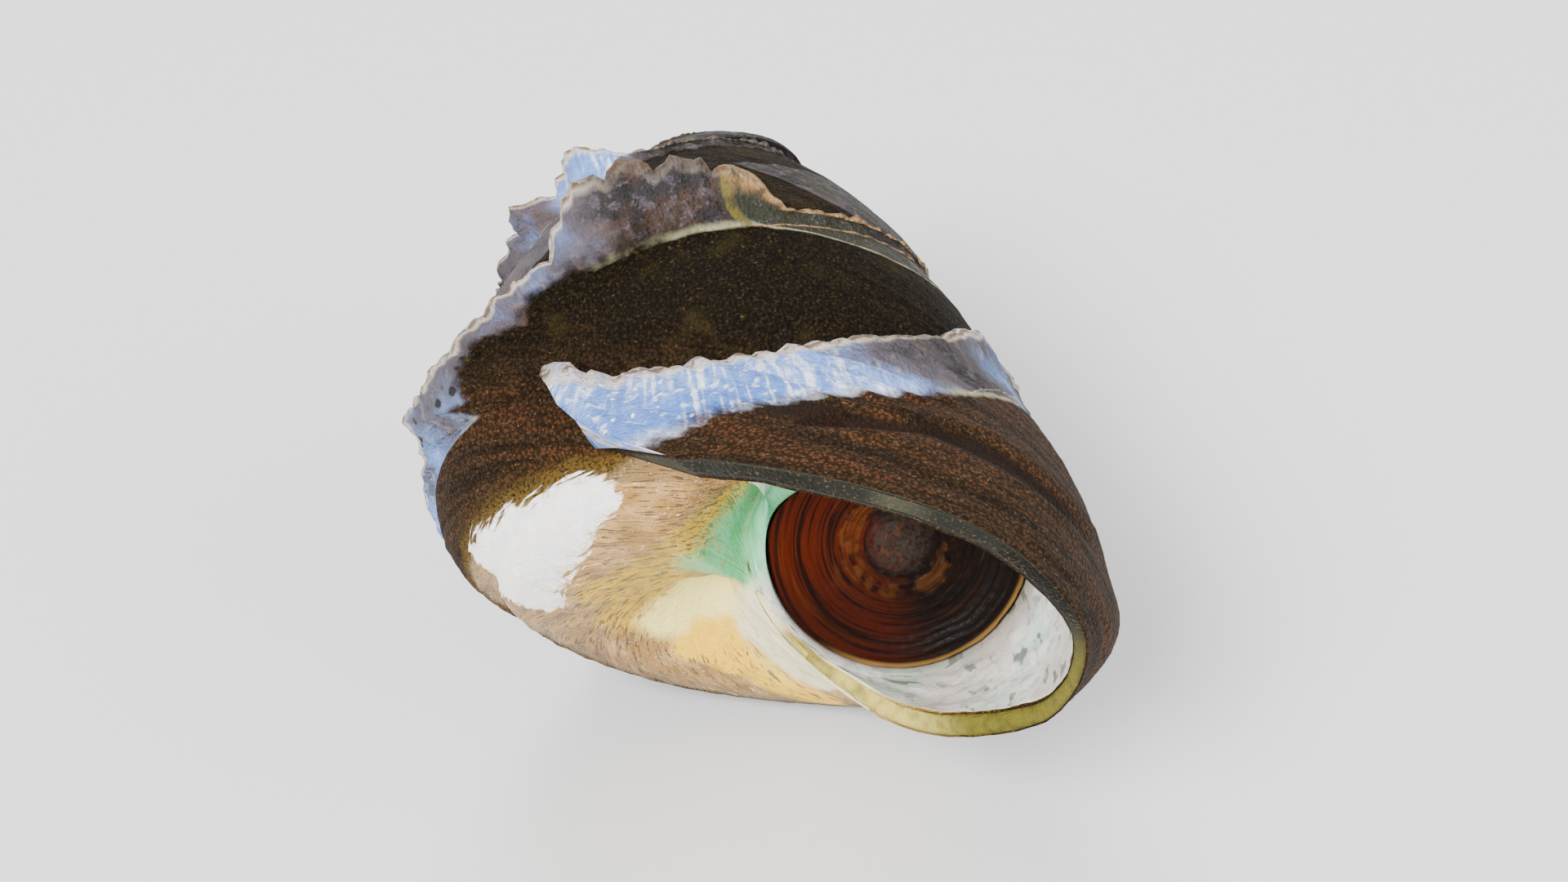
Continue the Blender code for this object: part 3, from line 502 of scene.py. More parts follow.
def hollow_loops():
    """Closed rows from the mouth's inner edge by a bowed funnel to the lid's seat, then down a blind bowl."""
    first = to_lid(mouth_loop())
    angle = np.unwrap(np.arctan2(first[:, 1], first[:, 0]))
    angle = np.minimum.accumulate(np.minimum(angle, math.radians(SEAT_ANGLE)))
    span = math.radians(LOOP_SPAN)
    even = angle[0] - span * np.linspace(0, 1, len(angle))
    angle = angle[0] + (angle - angle[0]) * span / (angle[0] - angle[-1])
    angle = (1.0 - LOOP_EVEN) * angle + LOOP_EVEN * even
    around = np.stack([np.cos(angle), np.sin(angle), 0.0 * angle], -1)
    rim = (lid_edge(angle) + SEAT_GAP)[:, None] * around
    seat = rim + [0.0, 0.0, SEAT_RISE]
    length = np.linalg.norm(seat - first, axis=1)[:, None]
    t = np.linspace(0, 1, FUNNEL_ROWS + 1)[:, None, None]
    t = t * (1.0 + FUNNEL_CROWD * (1.0 - t))
    funnel = first * (1 - t) + seat * t + FUNNEL_BOW * length * np.sin(math.pi * t) * around
    return from_lid(np.concatenate([funnel, [k * rim + [0.0, 0.0, z] for k, z in BOWL]]))


def lower_shares():
    """Even shares from the guide to the axis."""
    return np.linspace(GUIDE_SHARE, 1.0, LOWER_COLUMNS + 1)


class Skin:
    """Growing lists of points, faces and per-point values of one closed surface."""

    def __init__(self):
        self.points = []
        self.values = []
        self.faces = []
        self.count = 0

    def add(self, points, **values):
        """Adds a grid of points; the values are growth turn, share and the masks that are not zero."""
        shape = points.shape[:-1]
        size = int(np.prod(shape))
        self.points.append(points.reshape(-1, 3))
        names = ("turn", "share", "crest", "lip", "hollow", "cross")
        self.values.append(np.stack([np.broadcast_to(values.get(n, 0.0), shape).reshape(-1) for n in names], 1))
        self.count += size
        return np.arange(self.count - size, self.count).reshape(shape)

    def strip(self, near, far):
        """Faces between two lines of points, or between the rows of two grids, facing outwards."""
        quads = np.stack([near[..., :-1], near[..., 1:], far[..., 1:], far[..., :-1]], -1)
        self.faces.append(quads.reshape(-1, 4))

    def triangles(self, a, b, c):
        """Single triangles, kept as faces whose last corner repeats."""
        a, b, c = np.broadcast_arrays(a, b, c)
        self.faces.append(np.stack([a, b, c, c], -1).reshape(-1, 4))


def shell_skin():
    """The whole closed surface: outside sheet, tip, mouth edge, hollow, crest end and pillar face."""
    made = Skin()
    turns = -np.arange(ROWS + 1) * ROW_STEP
    cross = np.linspace(0, 1, CREST_COLUMNS + 1)[1:]
    foot = crest_figures(turns)[2]
    crest = made.add(crest_surface(turns), turn=turns[:, None], share=foot[:, None] * cross, crest=1.0, cross=cross)
    step = np.linspace(0, 1, FACE_COLUMNS + 1)[1:]
    share = foot[:, None] + (GUIDE_SHARE - foot)[:, None] * step
    row = np.broadcast_to(turns[:, None], share.shape)
    face = made.add(skin(flared(row, share), share), turn=row, share=share)
    old = turns[ROWS - WHORL_ROWS + 1:]
    free = made.add(skin(old, 0.0 * old), turn=old)
    joint = np.concatenate([face[WHORL_ROWS:, -1], free])
    upper = np.concatenate([joint[:, None], crest, face], axis=1)
    row, share = np.meshgrid(turns[:WHORL_ROWS + 1], lower_shares()[1:], indexing="ij")
    lower = made.add(make_room(skin(flared(row, share), share)), turn=row, share=share)
    lower = np.concatenate([face[:WHORL_ROWS + 1, -1:], lower], axis=1)
    for grid in (upper, lower):
        made.strip(grid[:-1], grid[1:])

    # The tip: a fan over the first turn's free suture and the oldest row
    peak = made.add(np.array([[TIP_SHIFT, 0.0, TIP_CAP - SUTURE_DROP[0]]]), turn=SUTURE_TURN[0])[0]
    ring = np.concatenate([joint[ROWS - WHORL_ROWS:][::-1], upper[ROWS][1:-1][::-1]])
    made.triangles(np.roll(ring, -1), ring, peak)

    # The hollow: its first loop ends on the old lip itself
    loops = hollow_loops()
    edge = np.concatenate([upper[0, CREST_COLUMNS:], lower[0, 1:-1]])
    width = len(edge)
    made_edge = width + PILLAR_COLUMNS
    loop_share = np.concatenate([made_shares(width), np.ones(PILLAR_COLUMNS), lower_shares()[1:-1][::-1]])
    first = made.add(loops[0, :made_edge], turn=0.0, share=loop_share[:made_edge])
    first = np.concatenate([first, lower[WHORL_ROWS, 1:-1][::-1]])
    depth = np.append(np.linspace(0, 1, FUNNEL_ROWS + 1)[1:], np.ones(len(BOWL)))[:, None]
    rest = made.add(loops[1:], turn=HOLLOW_TURN * depth, share=loop_share,
                    hollow=HOLLOW_START + (1.0 - HOLLOW_START) * depth)
    hollow = np.concatenate([first[None], rest], axis=0)
    ring = np.concatenate([hollow, hollow[:, :1]], axis=1)[:, ::-1]
    made.strip(ring[:-1], ring[1:])
    blind = made.add(loops[-1].mean(axis=0)[None], turn=HOLLOW_TURN, hollow=1.0)[0]
    made.triangles(np.roll(hollow[-1], -1), hollow[-1], blind)

    # The lip's rounded bevel between the outside edge and the hollow
    outside = np.concatenate(made.points)[edge]
    t = np.linspace(0, 1, BEVEL_ROWS + 2)[1:-1, None, None]
    lead = outside - skin(np.full(width, BEVEL_TURN), made_shares(width))
    bulge = BEVEL_BULGE * np.sin(math.pi * t) * lead
    bevel = made.add(outside * (1 - t) + loops[0, :width] * t + bulge, turn=0.0, share=made_shares(width), lip=1.0)
    bands = np.concatenate([edge[None], bevel, hollow[:1, :width]])[:, ::-1]
    made.strip(bands[:-1], bands[1:])
    start = np.append(bands[:, -1], hollow[0, -1])
    made.triangles(upper[0, 0], start[1:], start[:-1])
    helix = lower[:, -1]
    made.triangles(helix[0], bands[:-1, 0], bands[1:, 0])

    # The crest's end face, folded between its inner and its outer half
    half = (CREST_COLUMNS + 1) // 2
    profile = upper[0, :CREST_COLUMNS + 1]
    made.strip(profile[::-1][:half][None], profile[:half][None])

    # The pillar face between the axis line and the pillar's first loop
    pillar = hollow[0, width - 1:made_edge]
    steps = len(pillar) - 1
    at = np.minimum(np.arange(WHORL_ROWS) * steps // WHORL_ROWS, steps - 1)
    made.triangles(pillar[at], helix[1:], helix[:-1])
    change = np.minimum((np.arange(1, steps) * WHORL_ROWS + steps - 1) // steps, WHORL_ROWS)
    made.triangles(pillar[:-2], pillar[1:-1], helix[change])
    made.triangles(pillar[-2], pillar[-1], helix[-1])
    made.triangles(pillar[-1], lower[WHORL_ROWS, -2], helix[-1])
    return np.concatenate(made.points), np.concatenate(made.values), np.concatenate(made.faces)


def made_shares(width):
    """Shares of the whorl's skin along the lip, from the crest's foot to just short of the axis."""
    foot = crest_figures(np.array([0.0]))[2][0]
    return np.concatenate([np.linspace(foot, GUIDE_SHARE, FACE_COLUMNS + 1), lower_shares()[1:-1]])[:width]


def rest_axes():
    """Right, back and up of the shell as it lies, each a direction of the growth frame."""
    up = -np.array(DOWN) / np.linalg.norm(DOWN)
    back = -(np.array(FRONT) - np.dot(FRONT, up) * up)
    back /= np.linalg.norm(back)
    return np.array([np.cross(back, up), back, up])


def lay_down(points):
    """Metres as the shell lies, for millimetres of the growth frame; worn flat where it rests."""
    world = (points - np.array(MIDDLE)) @ rest_axes().T * 0.001
    world[:, 2] = np.maximum(world[:, 2], 0.0)
    return world


def spread(share, table):
    """Values of a table of pairs, by straight lines between them."""
    keys, levels = zip(*table)
    return np.interp(share, keys, levels)


def relief(points, values, faces):
    """Growth lines, furrow, crest ridges and pearl lumps: heights of summed waves, added along the normals."""
    settings = bpy.context.scene.shell_settings
    mm = points / MM
    turn, share, crest, lip, hollow, cross = values.T
    outside = (1.0 - crest) * (1.0 - lip) * (hollow == 0.0)
    base = ramp(share - spread(turn, BASE_EDGE), *BASE_RAMP) * outside
    striae = 0.35 * waves(turn + 3.0 * share, 2.6, 21) + 0.65 * waves(turn - 6.0 * share, 7.0, 22)
    striae = striae * (1.0 - 0.6 * base) + 0.8 * waves(mm, 0.9, 23)
    # The furrow behind the lip, with a swelling on either side, and a fold nearer the lip
    off = turn - spread(share, FURROW)
    deep = sum(depth * bell(off, place, width) for place, width, depth in FURROW_BELLS)
    deep *= ramp(share, *FURROW_START) * ramp(share, *FURROW_STOP)
    fold = bell(turn + 4.0 * waves(share * 30.0, 6.0, 24), *FOLD_BELL) * ramp(share, *FOLD_START)
    young = ramp(turn, *YOUNG_TURNS) * outside * (share > 0.02)
    ridges = 0.5 * waves(turn + 4.0 * cross, 4.4, 25) + 0.5 * waves(mm, 1.1, 26) + 0.35 * waves(mm, 0.55, 27)
    ridges += 0.5 * np.sin(math.tau * (3.2 * cross + 0.5 * waves(turn, 25.0, 28)))
    # The crest's rim is rolled, thickest where it ends at the lip
    rolled = 0.10 + 0.24 * ramp(turn, *ROLL_TURNS) + 0.05 * waves(turn, 5.0, 31)
    height = rolled * bell(cross, *RIM_BELL) * crest
    dips = (deep + FOLD_DEPTH * fold) * young
    ridges *= crest * ramp(cross, *RIDGE_START)
    height += 1000.0 * (settings.growth_line * striae * outside - settings.furrow_depth * dips
                        + settings.crest_ridge * ridges)
    height *= np.maximum(ramp(turn, *OLD_TURNS), OLD_RELIEF)
    pearl = np.maximum(ramp(hollow, 0.0, 1.0 / 3.0) * ramp(hollow, 1.0, 5.0 / 6.0), 0.6 * base)
    height += 1000.0 * settings.pearl_lump * (waves(mm, 1.7, 29) + 0.5 * waves(mm, 0.8, 30)) * pearl
    return points + point_normals(points, faces) * (height * MM)[:, None]


def shell_masks(points, values):
    """Fields for the finish: distances in millimetres inside bands and patches, how blue or rusty they are, and a
    ring of painted contact shade round the lid.
    """
    mm = points / MM
    turn, share, crest, lip, hollow, cross = values.T
    inside = INNER_LOSS * (ramp(hollow, 0.0, 0.2) + lip)
    behind = np.degrees(np.arctan2(-mm[:, 1], mm[:, 0])) - JOINT_AZIMUTH - turn
    masks = {
        "turn": turn, "share": share, "lip": lip, "hollow": hollow, "cross": cross,
        "around": turn + (behind + 180.0) % 360.0 - 180.0,
        "limy": np.maximum(spread(turn, BAND_EDGE) - share, share - spread(turn, WORN_EDGE)) * FACE_LENGTH - inside,
        "base": (share - spread(turn, BASE_EDGE)) * FACE_LENGTH - inside - INNER_LOSS * crest,
        "foot": np.where(crest > 0.5, ramp(cross, *FOOT_RAMP), 1.0),
        "blue": spread(turn, BLUE), "green": spread(turn, OLIVE), "rust": spread(turn, RUST),
    }
    angle, reach, height = polar(points)
    angle = np.degrees(angle) % 360.0
    near = np.where((hollow > 0.0) & (angle > PATCH_ANGLES[0]) & (angle < PATCH_ANGLES[1]), 0.0, 0.5 * inside)
    for name, spots in PATCHES.items():
        spots = np.array(spots)
        away = np.linalg.norm(mm[:, None] - spots[:, :3], axis=2) / spots[:, 3]
        masks[name] = (1.0 - away).max(axis=1) - near
    off = (turn - spread(share, FURROW)) / FURROW_WIDTH
    masks["furrow"] = np.clip(1.0 - off * off, 0.0, 1.0) * (turn > FURROW_TURN) * (inside < 0.5)
    masks["furrow"] *= ramp(share, *FURROW_SKIN[0]) * ramp(share, *FURROW_SKIN[1])
    # Painted contact shade: a ring next to the lid's rim, darkest at the rim and gone at its width
    masks["contact"] = ramp(reach - LID_RADIUS, CONTACT_SHADE_WIDTH, 0.0) * (height > CONTACT_SHADE_DEPTH)
    pad = np.interp(angle, PEARL_ANGLE, PEARL_REACH) - reach
    pad = np.where((height > PEARL_DEPTH) & (share > 0.5) & (lip < 0.5), pad, -FIELD_LIMIT)
    late = 2.0 * ramp(share, *PEARL_LIP) - 1.0
    masks["pearl"] = np.where(hollow > 0.0, FIELD_LIMIT, np.where(lip > 0.5, late, pad))
    return {name: value if name in UNCUT else np.clip(value, -FIELD_LIMIT, FIELD_LIMIT)
            for name, value in masks.items()}


def add_object(name, data):
    """Object at the origin with this data, linked to the scene."""
    item = bpy.data.objects.new(name, data)
    bpy.context.scene.collection.objects.link(item)
    return item


def make_piece(name, points, faces, values, finish):
    """Object at the origin with these points, quads or triangles, point values and one material."""
    mesh = bpy.data.meshes.new(name)
    triangle = faces[:, 2] == faces[:, 3]
    sizes = np.where(triangle, 3, 4)
    keep = np.ones(faces.shape, bool)
    keep[triangle, 3] = False
    corners = faces[keep]
    mesh.vertices.add(len(points))
    mesh.vertices.foreach_set("co", points.astype(np.float32).ravel())
    mesh.loops.add(len(corners))
    mesh.loops.foreach_set("vertex_index", corners.astype(np.int32))
    mesh.polygons.add(len(faces))
    mesh.polygons.foreach_set("loop_start", np.concatenate([[0], np.cumsum(sizes)[:-1]]).astype(np.int32))
    mesh.update(calc_edges=True)
    for key, value in values.items():
        attribute = mesh.attributes.new(key, "FLOAT", "POINT")
        attribute.data.foreach_set("value", value.astype(np.float32))
    mesh.shade_smooth()
    mesh.materials.append(finish)
    return add_object(name, mesh)


def point_normals(points, faces):
    """Unit normal at each point: the sum of its faces' area vectors."""
    a, b, c, d = (points[faces[:, k]] for k in range(4))
    area = np.cross(c - a, d - b)
    total = np.zeros_like(points)
    for axis in range(3):
        for k in range(4):
            total[:, axis] += np.bincount(faces[:, k], area[:, axis], len(points))
    return total / np.maximum(np.linalg.norm(total, axis=1, keepdims=True), 1e-12)


def linear(hex_colour):
    """Linear colour with alpha for an sRGB hex value."""
    value = [int(hex_colour[k:k + 2], 16) / 255.0 for k in (1, 3, 5)]
    return tuple(v / 12.92 if v <= 0.04045 else ((v + 0.055) / 1.055) ** 2.4 for v in value) + (1.0,)


def join(tree, node, **keys):
    """Sets up a node: a key is one of its settings, an input's name, or i with an input's number."""
    for key, value in keys.items():
        if hasattr(node, key):
            setattr(node, key, value)
            continue
        socket = node.inputs[int(key[1:]) if key[1:].isdigit() else key.replace("_", " ")]
        if isinstance(value, bpy.types.NodeSocket):
            tree.links.new(value, socket)
        else:
            socket.default_value = value


def add_node(tree, kind, out=0, **keys):
    """Adds a node with its settings and links, and gives the output that is asked for."""
    node = tree.nodes.new("ShaderNode" + kind)
    join(tree, node, **keys)
    return node.outputs[out]


def new_finish(name):
    """Empty material with its Principled shader."""
    finish = bpy.data.materials.new(name)
    finish.use_nodes = True
    return finish, finish.node_tree, finish.node_tree.nodes["Principled BSDF"]


def cover(tree, fields, steps):
    """Share of a layer: the product of smooth steps of its fields, from 0 to 1 where no end and start are given."""
    share = 1.0
    for name, low, high, *ends in steps:
        end, start = (*ends, *(1.0, 0.0)[len(ends):])
        step = add_node(tree, "MapRange", interpolation_type="SMOOTHSTEP",
                        i0=fields[name], i1=low, i2=high, i3=start, i4=end)
        share = add_node(tree, "Math", operation="MULTIPLY", i0=share, i1=step)
    return share


def paint(tree, fields, colours, layers):
    """Lays colours over the first one, each through its own steps."""
    colour = colours[layers[0][0]]
    for name, *steps in layers[1:]:
        share = cover(tree, fields, steps)
        colour = add_node(tree, "Mix", 2, data_type="RGBA", i0=share, i6=colour, i7=colours[name])
    return colour


def drawn_out(tree, ways, width, length, detail):
    """Noise drawn out along growth: the first way is measured by its width, the other two by its length."""
    parts = [add_node(tree, "Math", operation="DIVIDE", i0=way, i1=size)
             for way, size in zip(ways, (width, length, length))]
    vector = add_node(tree, "CombineXYZ", X=parts[0], Y=parts[1], Z=parts[2])
    return add_node(tree, "TexNoise", Vector=vector, Scale=1.0, Detail=detail)


def millimetres(tree):
    """Object coordinates in millimetres."""
    return add_node(tree, "VectorMath", operation="SCALE", i0=add_node(tree, "TexCoord", "Object"), Scale=1000.0)


def shell_finish(names):
    """Mollusc shell: matt horny skin over lime, grown in fine lines; worn lime, base glaze and mother-of-pearl."""
    settings = bpy.context.scene.shell_settings
    finish, tree, shader = new_finish("grown_shell")
    place = millimetres(tree)
    # Fields, patterns and ragged fields by name
    f = {name: add_node(tree, "Attribute", "Fac", attribute_name=name) for name in names}
    rolled, across, height = (add_node(tree, "Math", operation="MULTIPLY", i0=f[name], i1=size)
                              for name, size in FIELD_SIZES)
    for name, field, width, length in GROWN_PATTERNS:
        along = add_node(tree, "Math", operation="MULTIPLY_ADD", i0=f[field], i1=TURN_LENGTH, i2=rolled)
        f[name] = drawn_out(tree, (along, across, height), width, length, 2.0)
    for name, size, detail in GRAINS:
        f[name] = add_node(tree, "TexNoise", Vector=place, Scale=1.0 / size, Detail=detail)
    for name, size in CELLS:
        f[name] = add_node(tree, "TexVoronoi", Vector=place, Scale=1.0 / size, Randomness=0.95)
    for name, pattern, amount in RAGGED:
        shift = add_node(tree, "Math", operation="MULTIPLY_ADD", i0=f[pattern], i1=amount, i2=-0.5 * amount)
        f[name + "_edge"] = add_node(tree, "Math", operation="ADD", i0=f[name], i1=shift)
    c = {name: (*getattr(settings, name), 1.0) for name in SHELL_COLOURS}
    # Coats over one another, each with its colour, roughness, shine and strength of relief
    layers, *looks = COATS[0]
    colour = paint(tree, f, c, layers)
    for layers, level, gloss, rough, *steps in COATS[1:]:
        share = cover(tree, f, steps)
        colour = add_node(tree, "Mix", 2, data_type="RGBA", i0=share, i6=colour, i7=paint(tree, f, c, layers))
        looks = [add_node(tree, "Mix", i0=share, i2=old, i3=new) for old, new in zip(looks, (level, gloss, rough))]
    roughness, shine, strength = looks
    height = 0.0
    for name, amount in BUMPS:
        height = add_node(tree, "Math", operation="MULTIPLY_ADD", i0=f[name], i1=amount, i2=height)
    height = add_node(tree, "Math", operation="MULTIPLY", i0=height, i1=strength)
    bump = add_node(tree, "Bump", Height=height, Distance=BUMP_HEIGHT, Strength=1.0)
    join(tree, shader, Base_Color=colour, Roughness=roughness, Normal=bump, Specular_IOR_Level=shine, IOR=1.5)
    return finish


def lid_surface():
    """Lid in its own frame: radius and height by share and angle, rings of both faces, with a ragged worn side."""
    rings = LID_RINGS - 1
    angle = -math.pi + math.tau * np.arange(LID_SIDES) / LID_SIDES
    loop = np.stack([np.cos(angle), np.sin(angle)], -1)
    ragged = waves(loop * 12.0, 4.0, 41) + 0.8 * waves(loop * 40.0, 5.0, 42)
    worn = bell(np.degrees(angle), LID_NOTCH[0], 2.4 * LID_NOTCH[1])
    outer = lid_edge(angle) * (1.0 - LID_RAGGED * ragged * (1.0 + 2.5 * worn))
    share = np.repeat(np.linspace(0, 1, LID_RINGS)[1:], LID_SIDES)
    radius = share * (LID_RADIUS + (np.tile(outer, rings) - LID_RADIUS) * share**6)
    flat = radius[:, None] * np.tile(loop, (rings, 1))
    swirl = radius + 0.10 * waves(flat / 1.2, 2.0, 43)
    lines = 0.55 * np.sin(math.tau * swirl / LID_RING) + 0.45 * waves(swirl, 0.23, 44)
    coarse = waves(flat, 0.8, 45)
    core = np.exp(-((radius / LID_CORE) ** 4))
    crust = bell(radius - 0.12 * coarse, *LID_CRUST) * np.clip(0.4 + coarse, 0.0, 1.2)
    parts = (lines * (1.0 - core), coarse * core, crust, waves(flat, 0.45, 46))
    z = LID_DISH * (hermite(*zip(*LID_PROFILE), share) - LID_PROFILE[-1][1])
    z += sum(height * part for height, part in zip(LID_HEIGHTS, parts))
    front = np.column_stack([flat, z]).reshape(rings, LID_SIDES, 3)
    back = front[::-6] - [0.0, 0.0, LID_THICKNESS]
    back[0, :, 2] += LID_BEVEL * LID_THICKNESS
    index = np.arange((len(front) + len(back)) * LID_SIDES).reshape(-1, LID_SIDES)
    ahead = np.roll(index, -1, axis=1)
    quads = np.stack([index[:-1], index[1:], ahead[1:], ahead[:-1]], -1).reshape(-1, 4)
    middle = np.array([[0.0, 0.0, front[0, :, 2].mean()]])
    points = np.concatenate([*front, *back, middle, middle - [0.0, 0.0, LID_THICKNESS]])
    ends = [np.stack([a, b, 0 * a + end, 0 * a + end], -1) for a, b, end in (
        (index[0], ahead[0], index.size), (ahead[-1], index[-1], index.size + 1))]
    return points, np.concatenate([quads, *ends])


def lid_finish(names):
    """Horn: thin tough sheets laid in rings, so dark and glossy with a translucent golden edge."""
    settings = bpy.context.scene.lid_settings
    finish, tree, shader = new_finish("ringed_horn")
    f = {name: add_node(tree, "Attribute", "Fac", attribute_name=name) for name in names}
    for name, width, length in LID_PATTERNS:
        f[name] = drawn_out(tree, (f["radius"], f["east"], f["north"]), width, length, 3.0)
    place = millimetres(tree)
    for name, count, detail in LID_GRAINS:
        f[name] = add_node(tree, "TexNoise", Vector=place, Scale=count, Detail=detail)
    for name, first, amount, second in LID_SUMS:
        f[name] = add_node(tree, "Math", operation="MULTIPLY_ADD", i0=f[first], i1=amount, i2=f[second])
    c = {name: (*getattr(settings, name), 1.0) for name in LID_COLOURS}
    bump = add_node(tree, "Bump", Height=f["height"], Distance=LID_BUMP_HEIGHT, Strength=0.7)
    join(tree, shader, Base_Color=paint(tree, f, c, HORN), Roughness=cover(tree, f, LID_ROUGHNESS), Normal=bump,
         IOR=1.5, Specular_IOR_Level=0.08)
    return finish


def floor_finish():
    """Matt studio paper with a trace of tooth, so that it looks plain and pale."""
    finish, tree, shader = new_finish("studio_paper")
    tooth = add_node(tree, "TexNoise", Vector=millimetres(tree), Scale=PAPER_TOOTH, Detail=2.0)
    tint = (*bpy.context.scene.stage_settings.floor, 1.0)
    light = tuple(min(1.0, PAPER_LIGHT * v) for v in tint)
    colour = add_node(tree, "Mix", 2, data_type="RGBA", i0=tooth, i6=tint, i7=light)
    join(tree, shader, Base_Color=colour, Roughness=0.9)
    return finish


# Colours of the shell and of the lid, sRGB
SHELL_COLOURS = {
    "olive_skin": "#150f05", "rust_skin": "#402b19", "deep_skin": "#080401", "red_streak": "#5c3720",
    "dark_streak": "#180e08", "green_fleck": "#3c3c14", "dim_fleck": "#281e0e", "gold_fleck": "#80602c",
    "pale_fleck": "#7c6246", "furrow": "#1c120c", "fringe": "#5e4a1e", "tan": "#a47a36", "pink_tan": "#cba062",
    "brown_tan": "#80603a", "brown_dash": "#463014", "yellow": "#d6a800", "pale_yellow": "#f4e290",
    "cream": "#ffec8c", "orange": "#ffc800", "mint": "#52c486", "pit": "#55502c", "white": "#ffffff",
    "chalk": "#fbf5ee", "mauve": "#262122", "dark_mauve": "#161313", "pale_mauve": "#554f55", "blue": "#7696d2",
    # The gutter's blue on the next line is the limy crest's blue darkened by painted shade
    "deep_blue": "#4a72bc", "gutter_shade_blue": "#3a62a8", "olive_edge": "#2b2c20", "olive_line": "#5c5222",
    "cream_line": "#9a9674", "rim_cream": "#c9baa6", "brown_rim": "#4c3320", "orange_spot": "#80501e",
    "warm_rim": "#9a7448", "lip": "#1c1d16", "lip_line": "#4c4a3a", "olive_lip": "#67601f",
    # The grey-brown contact colour on the next line is painted shade round the lid's rim
    "golden_lip": "#c8b65e", "amber": "#ffca0a", "contact": "#6e6453", "pearl": "#e9e9e2", "pearl_grey": "#aeb2b2",
    # The pearl's grey-blue pit colour on the next line is painted shade of its pits
    "pearl_mint": "#bfe0cc", "pearl_pink": "#e6cfc4", "pearl_pit_shade": "#6c7472", "pearl_white": "#ffffff",
}
LID_COLOURS = {
    "dark_horn": "#110602", "red_horn": "#451200", "black_horn": "#070201", "orange_horn": "#6a3410",
    "crust": "#5c3410", "grey_horn": "#46342a", "core": "#332a24", "golden_rim": "#94703a",
}
# Fields that may be larger than the limit
UNCUT = ("turn", "around", "share")
# Millimetres for a degree of growth, and for the whole of the lip's edge, the whorl's skin and the crest
TURN_LENGTH = 0.19
FIELD_SIZES = (("lip", 1.3), ("share", FACE_LENGTH), ("cross", 4))
# Patterns that follow growth: field, width along the whorl and length across it, millimetres.
# Growth lines lie 0.3 mm apart and run 5 mm along the old lips; the folds of the limy crest lie 0.25 mm apart
GROWN_PATTERNS = (
    ("lines", "turn", 0.3, 5), ("dashes", "turn", 0.16, 0.7), ("streaks", "turn", 0.8, 9),
    ("spiral", "turn", 1.6, 0.35), ("folds", "around", 0.25, 1.3), ("brush", "turn", 1.5, 0.3),
    ("marks", "turn", 0.42, 0.75),
)
# Patterns in space: size in millimetres and detail. The horny skin's own grain is finer than 0.1 mm,
# so it is drawn coarser, at 0.12 mm with specks of 0.13 mm, and shows in the picture
GRAINS = (("grain", 0.12, 2), ("specks", 0.13, 1), ("lumps", 0.5, 3), ("clouds", 2.2, 3), ("drift", 5, 2))
# Beads of the skin and pits of the limy crest, millimetres apart
CELLS = (("beads", 0.17), ("dots", 0.75))
# Edges roughened by a pattern: the field, the pattern and how far it shifts the edge
RAGGED = (
    ("rust", "clouds", 0.9), ("furrow", "lumps", 0.5), ("base", "grain", 2), ("chalk", "brush", 1.1),
    ("limy", "lumps", 0.22), ("pearl", "lumps", 0.9), ("mint", "brush", 1), ("yellow", "clouds", 0.8),
    ("cream", "clouds", 0.7), ("amber", "lumps", 0.8), ("orange", "clouds", 0.8), ("blue", "clouds", 0.7),
    ("green", "clouds", 0.9),
)
# Layers of each coat, the ground first: colour, then steps as field, low, high, and share there and at the start
SKIN = (
    ("olive_skin",),
    ("rust_skin", ("rust_edge", 0.1, 0.9)),
    ("deep_skin", ("lines", 0.5, 0.66, 0.5)),
    ("red_streak", ("streaks", 0.48, 0.66), ("rust", 0.4, 0.8, 0.6)),
    ("dark_streak", ("streaks", 0.47, 0.36), ("rust", 0.4, 0.8, 0.7)),
    ("deep_skin", ("beads", 0.3, 0.6, 0.75)),
    ("green_fleck", ("clouds", 0.56, 0.72, 0.22), ("rust", 0.6, 0.1)),
    ("dim_fleck", ("specks", 0.52, 0.68, 0.8)),
    ("gold_fleck", ("specks", 0.66, 0.76, 0.3), ("grain", 0.5, 0.6)),
    ("pale_fleck", ("grain", 0.56, 0.72, 0.5), ("dashes", 0.46, 0.6), ("rust", 0.2, 0.8)),
    ("furrow", ("furrow_edge", 0.15, 0.85, 0.85)),
    ("fringe", ("base", -2.4, -0.3, 0.75), ("grain", 0.38, 0.58)),
    ("fringe", ("chalk_edge", -0.75, -0.1, 0.85), ("grain", 0.34, 0.54), ("base", -4, -1.5)),
    ("gold_fleck", ("base", -1.8, 0), ("specks", 0.5, 0.62, 0.7)),
)
BASE = (
    ("tan",),
    ("pink_tan", ("clouds", 0.4, 0.62, 0.8)),
    ("brown_tan", ("streaks", 0.5, 0.64, 0.7)),
    ("fringe", ("base_edge", 2.2, 0.2, 0.85), ("grain", 0.34, 0.6, 1, 0.35)),
    ("yellow", ("yellow_edge", -0.2, 0.35)),
    ("cream", ("cream_edge", -0.25, 0.5)),
    ("orange", ("orange_edge", -0.1, 0.45)),
    ("brown_dash", ("dashes", 0.54, 0.62, 0.85), ("cream_edge", 0.1, -0.2)),
    ("pit", ("marks", 0.56, 0.6, 0.85), ("yellow_edge", -0.3, 0.05), ("cream_edge", 0.35, 0.05)),
    ("pale_yellow", ("marks", 0.36, 0.3, 0.6), ("clouds", 0.42, 0.54)),
    ("white", ("specks", 0.66, 0.78, 0.5)),
    ("amber", ("amber_edge", -0.4, 0.3, 0.9)),
    ("pit", ("amber", -0.1, 0.2), ("marks", 0.55, 0.6, 0.85)),
)
CHALK = (
    ("chalk",),
    ("pink_tan", ("beads", 0.42, 0.6, 0.75), ("chalk", 0.35, 0.05)),
    ("white", ("lumps", 0.45, 0.65)),
)
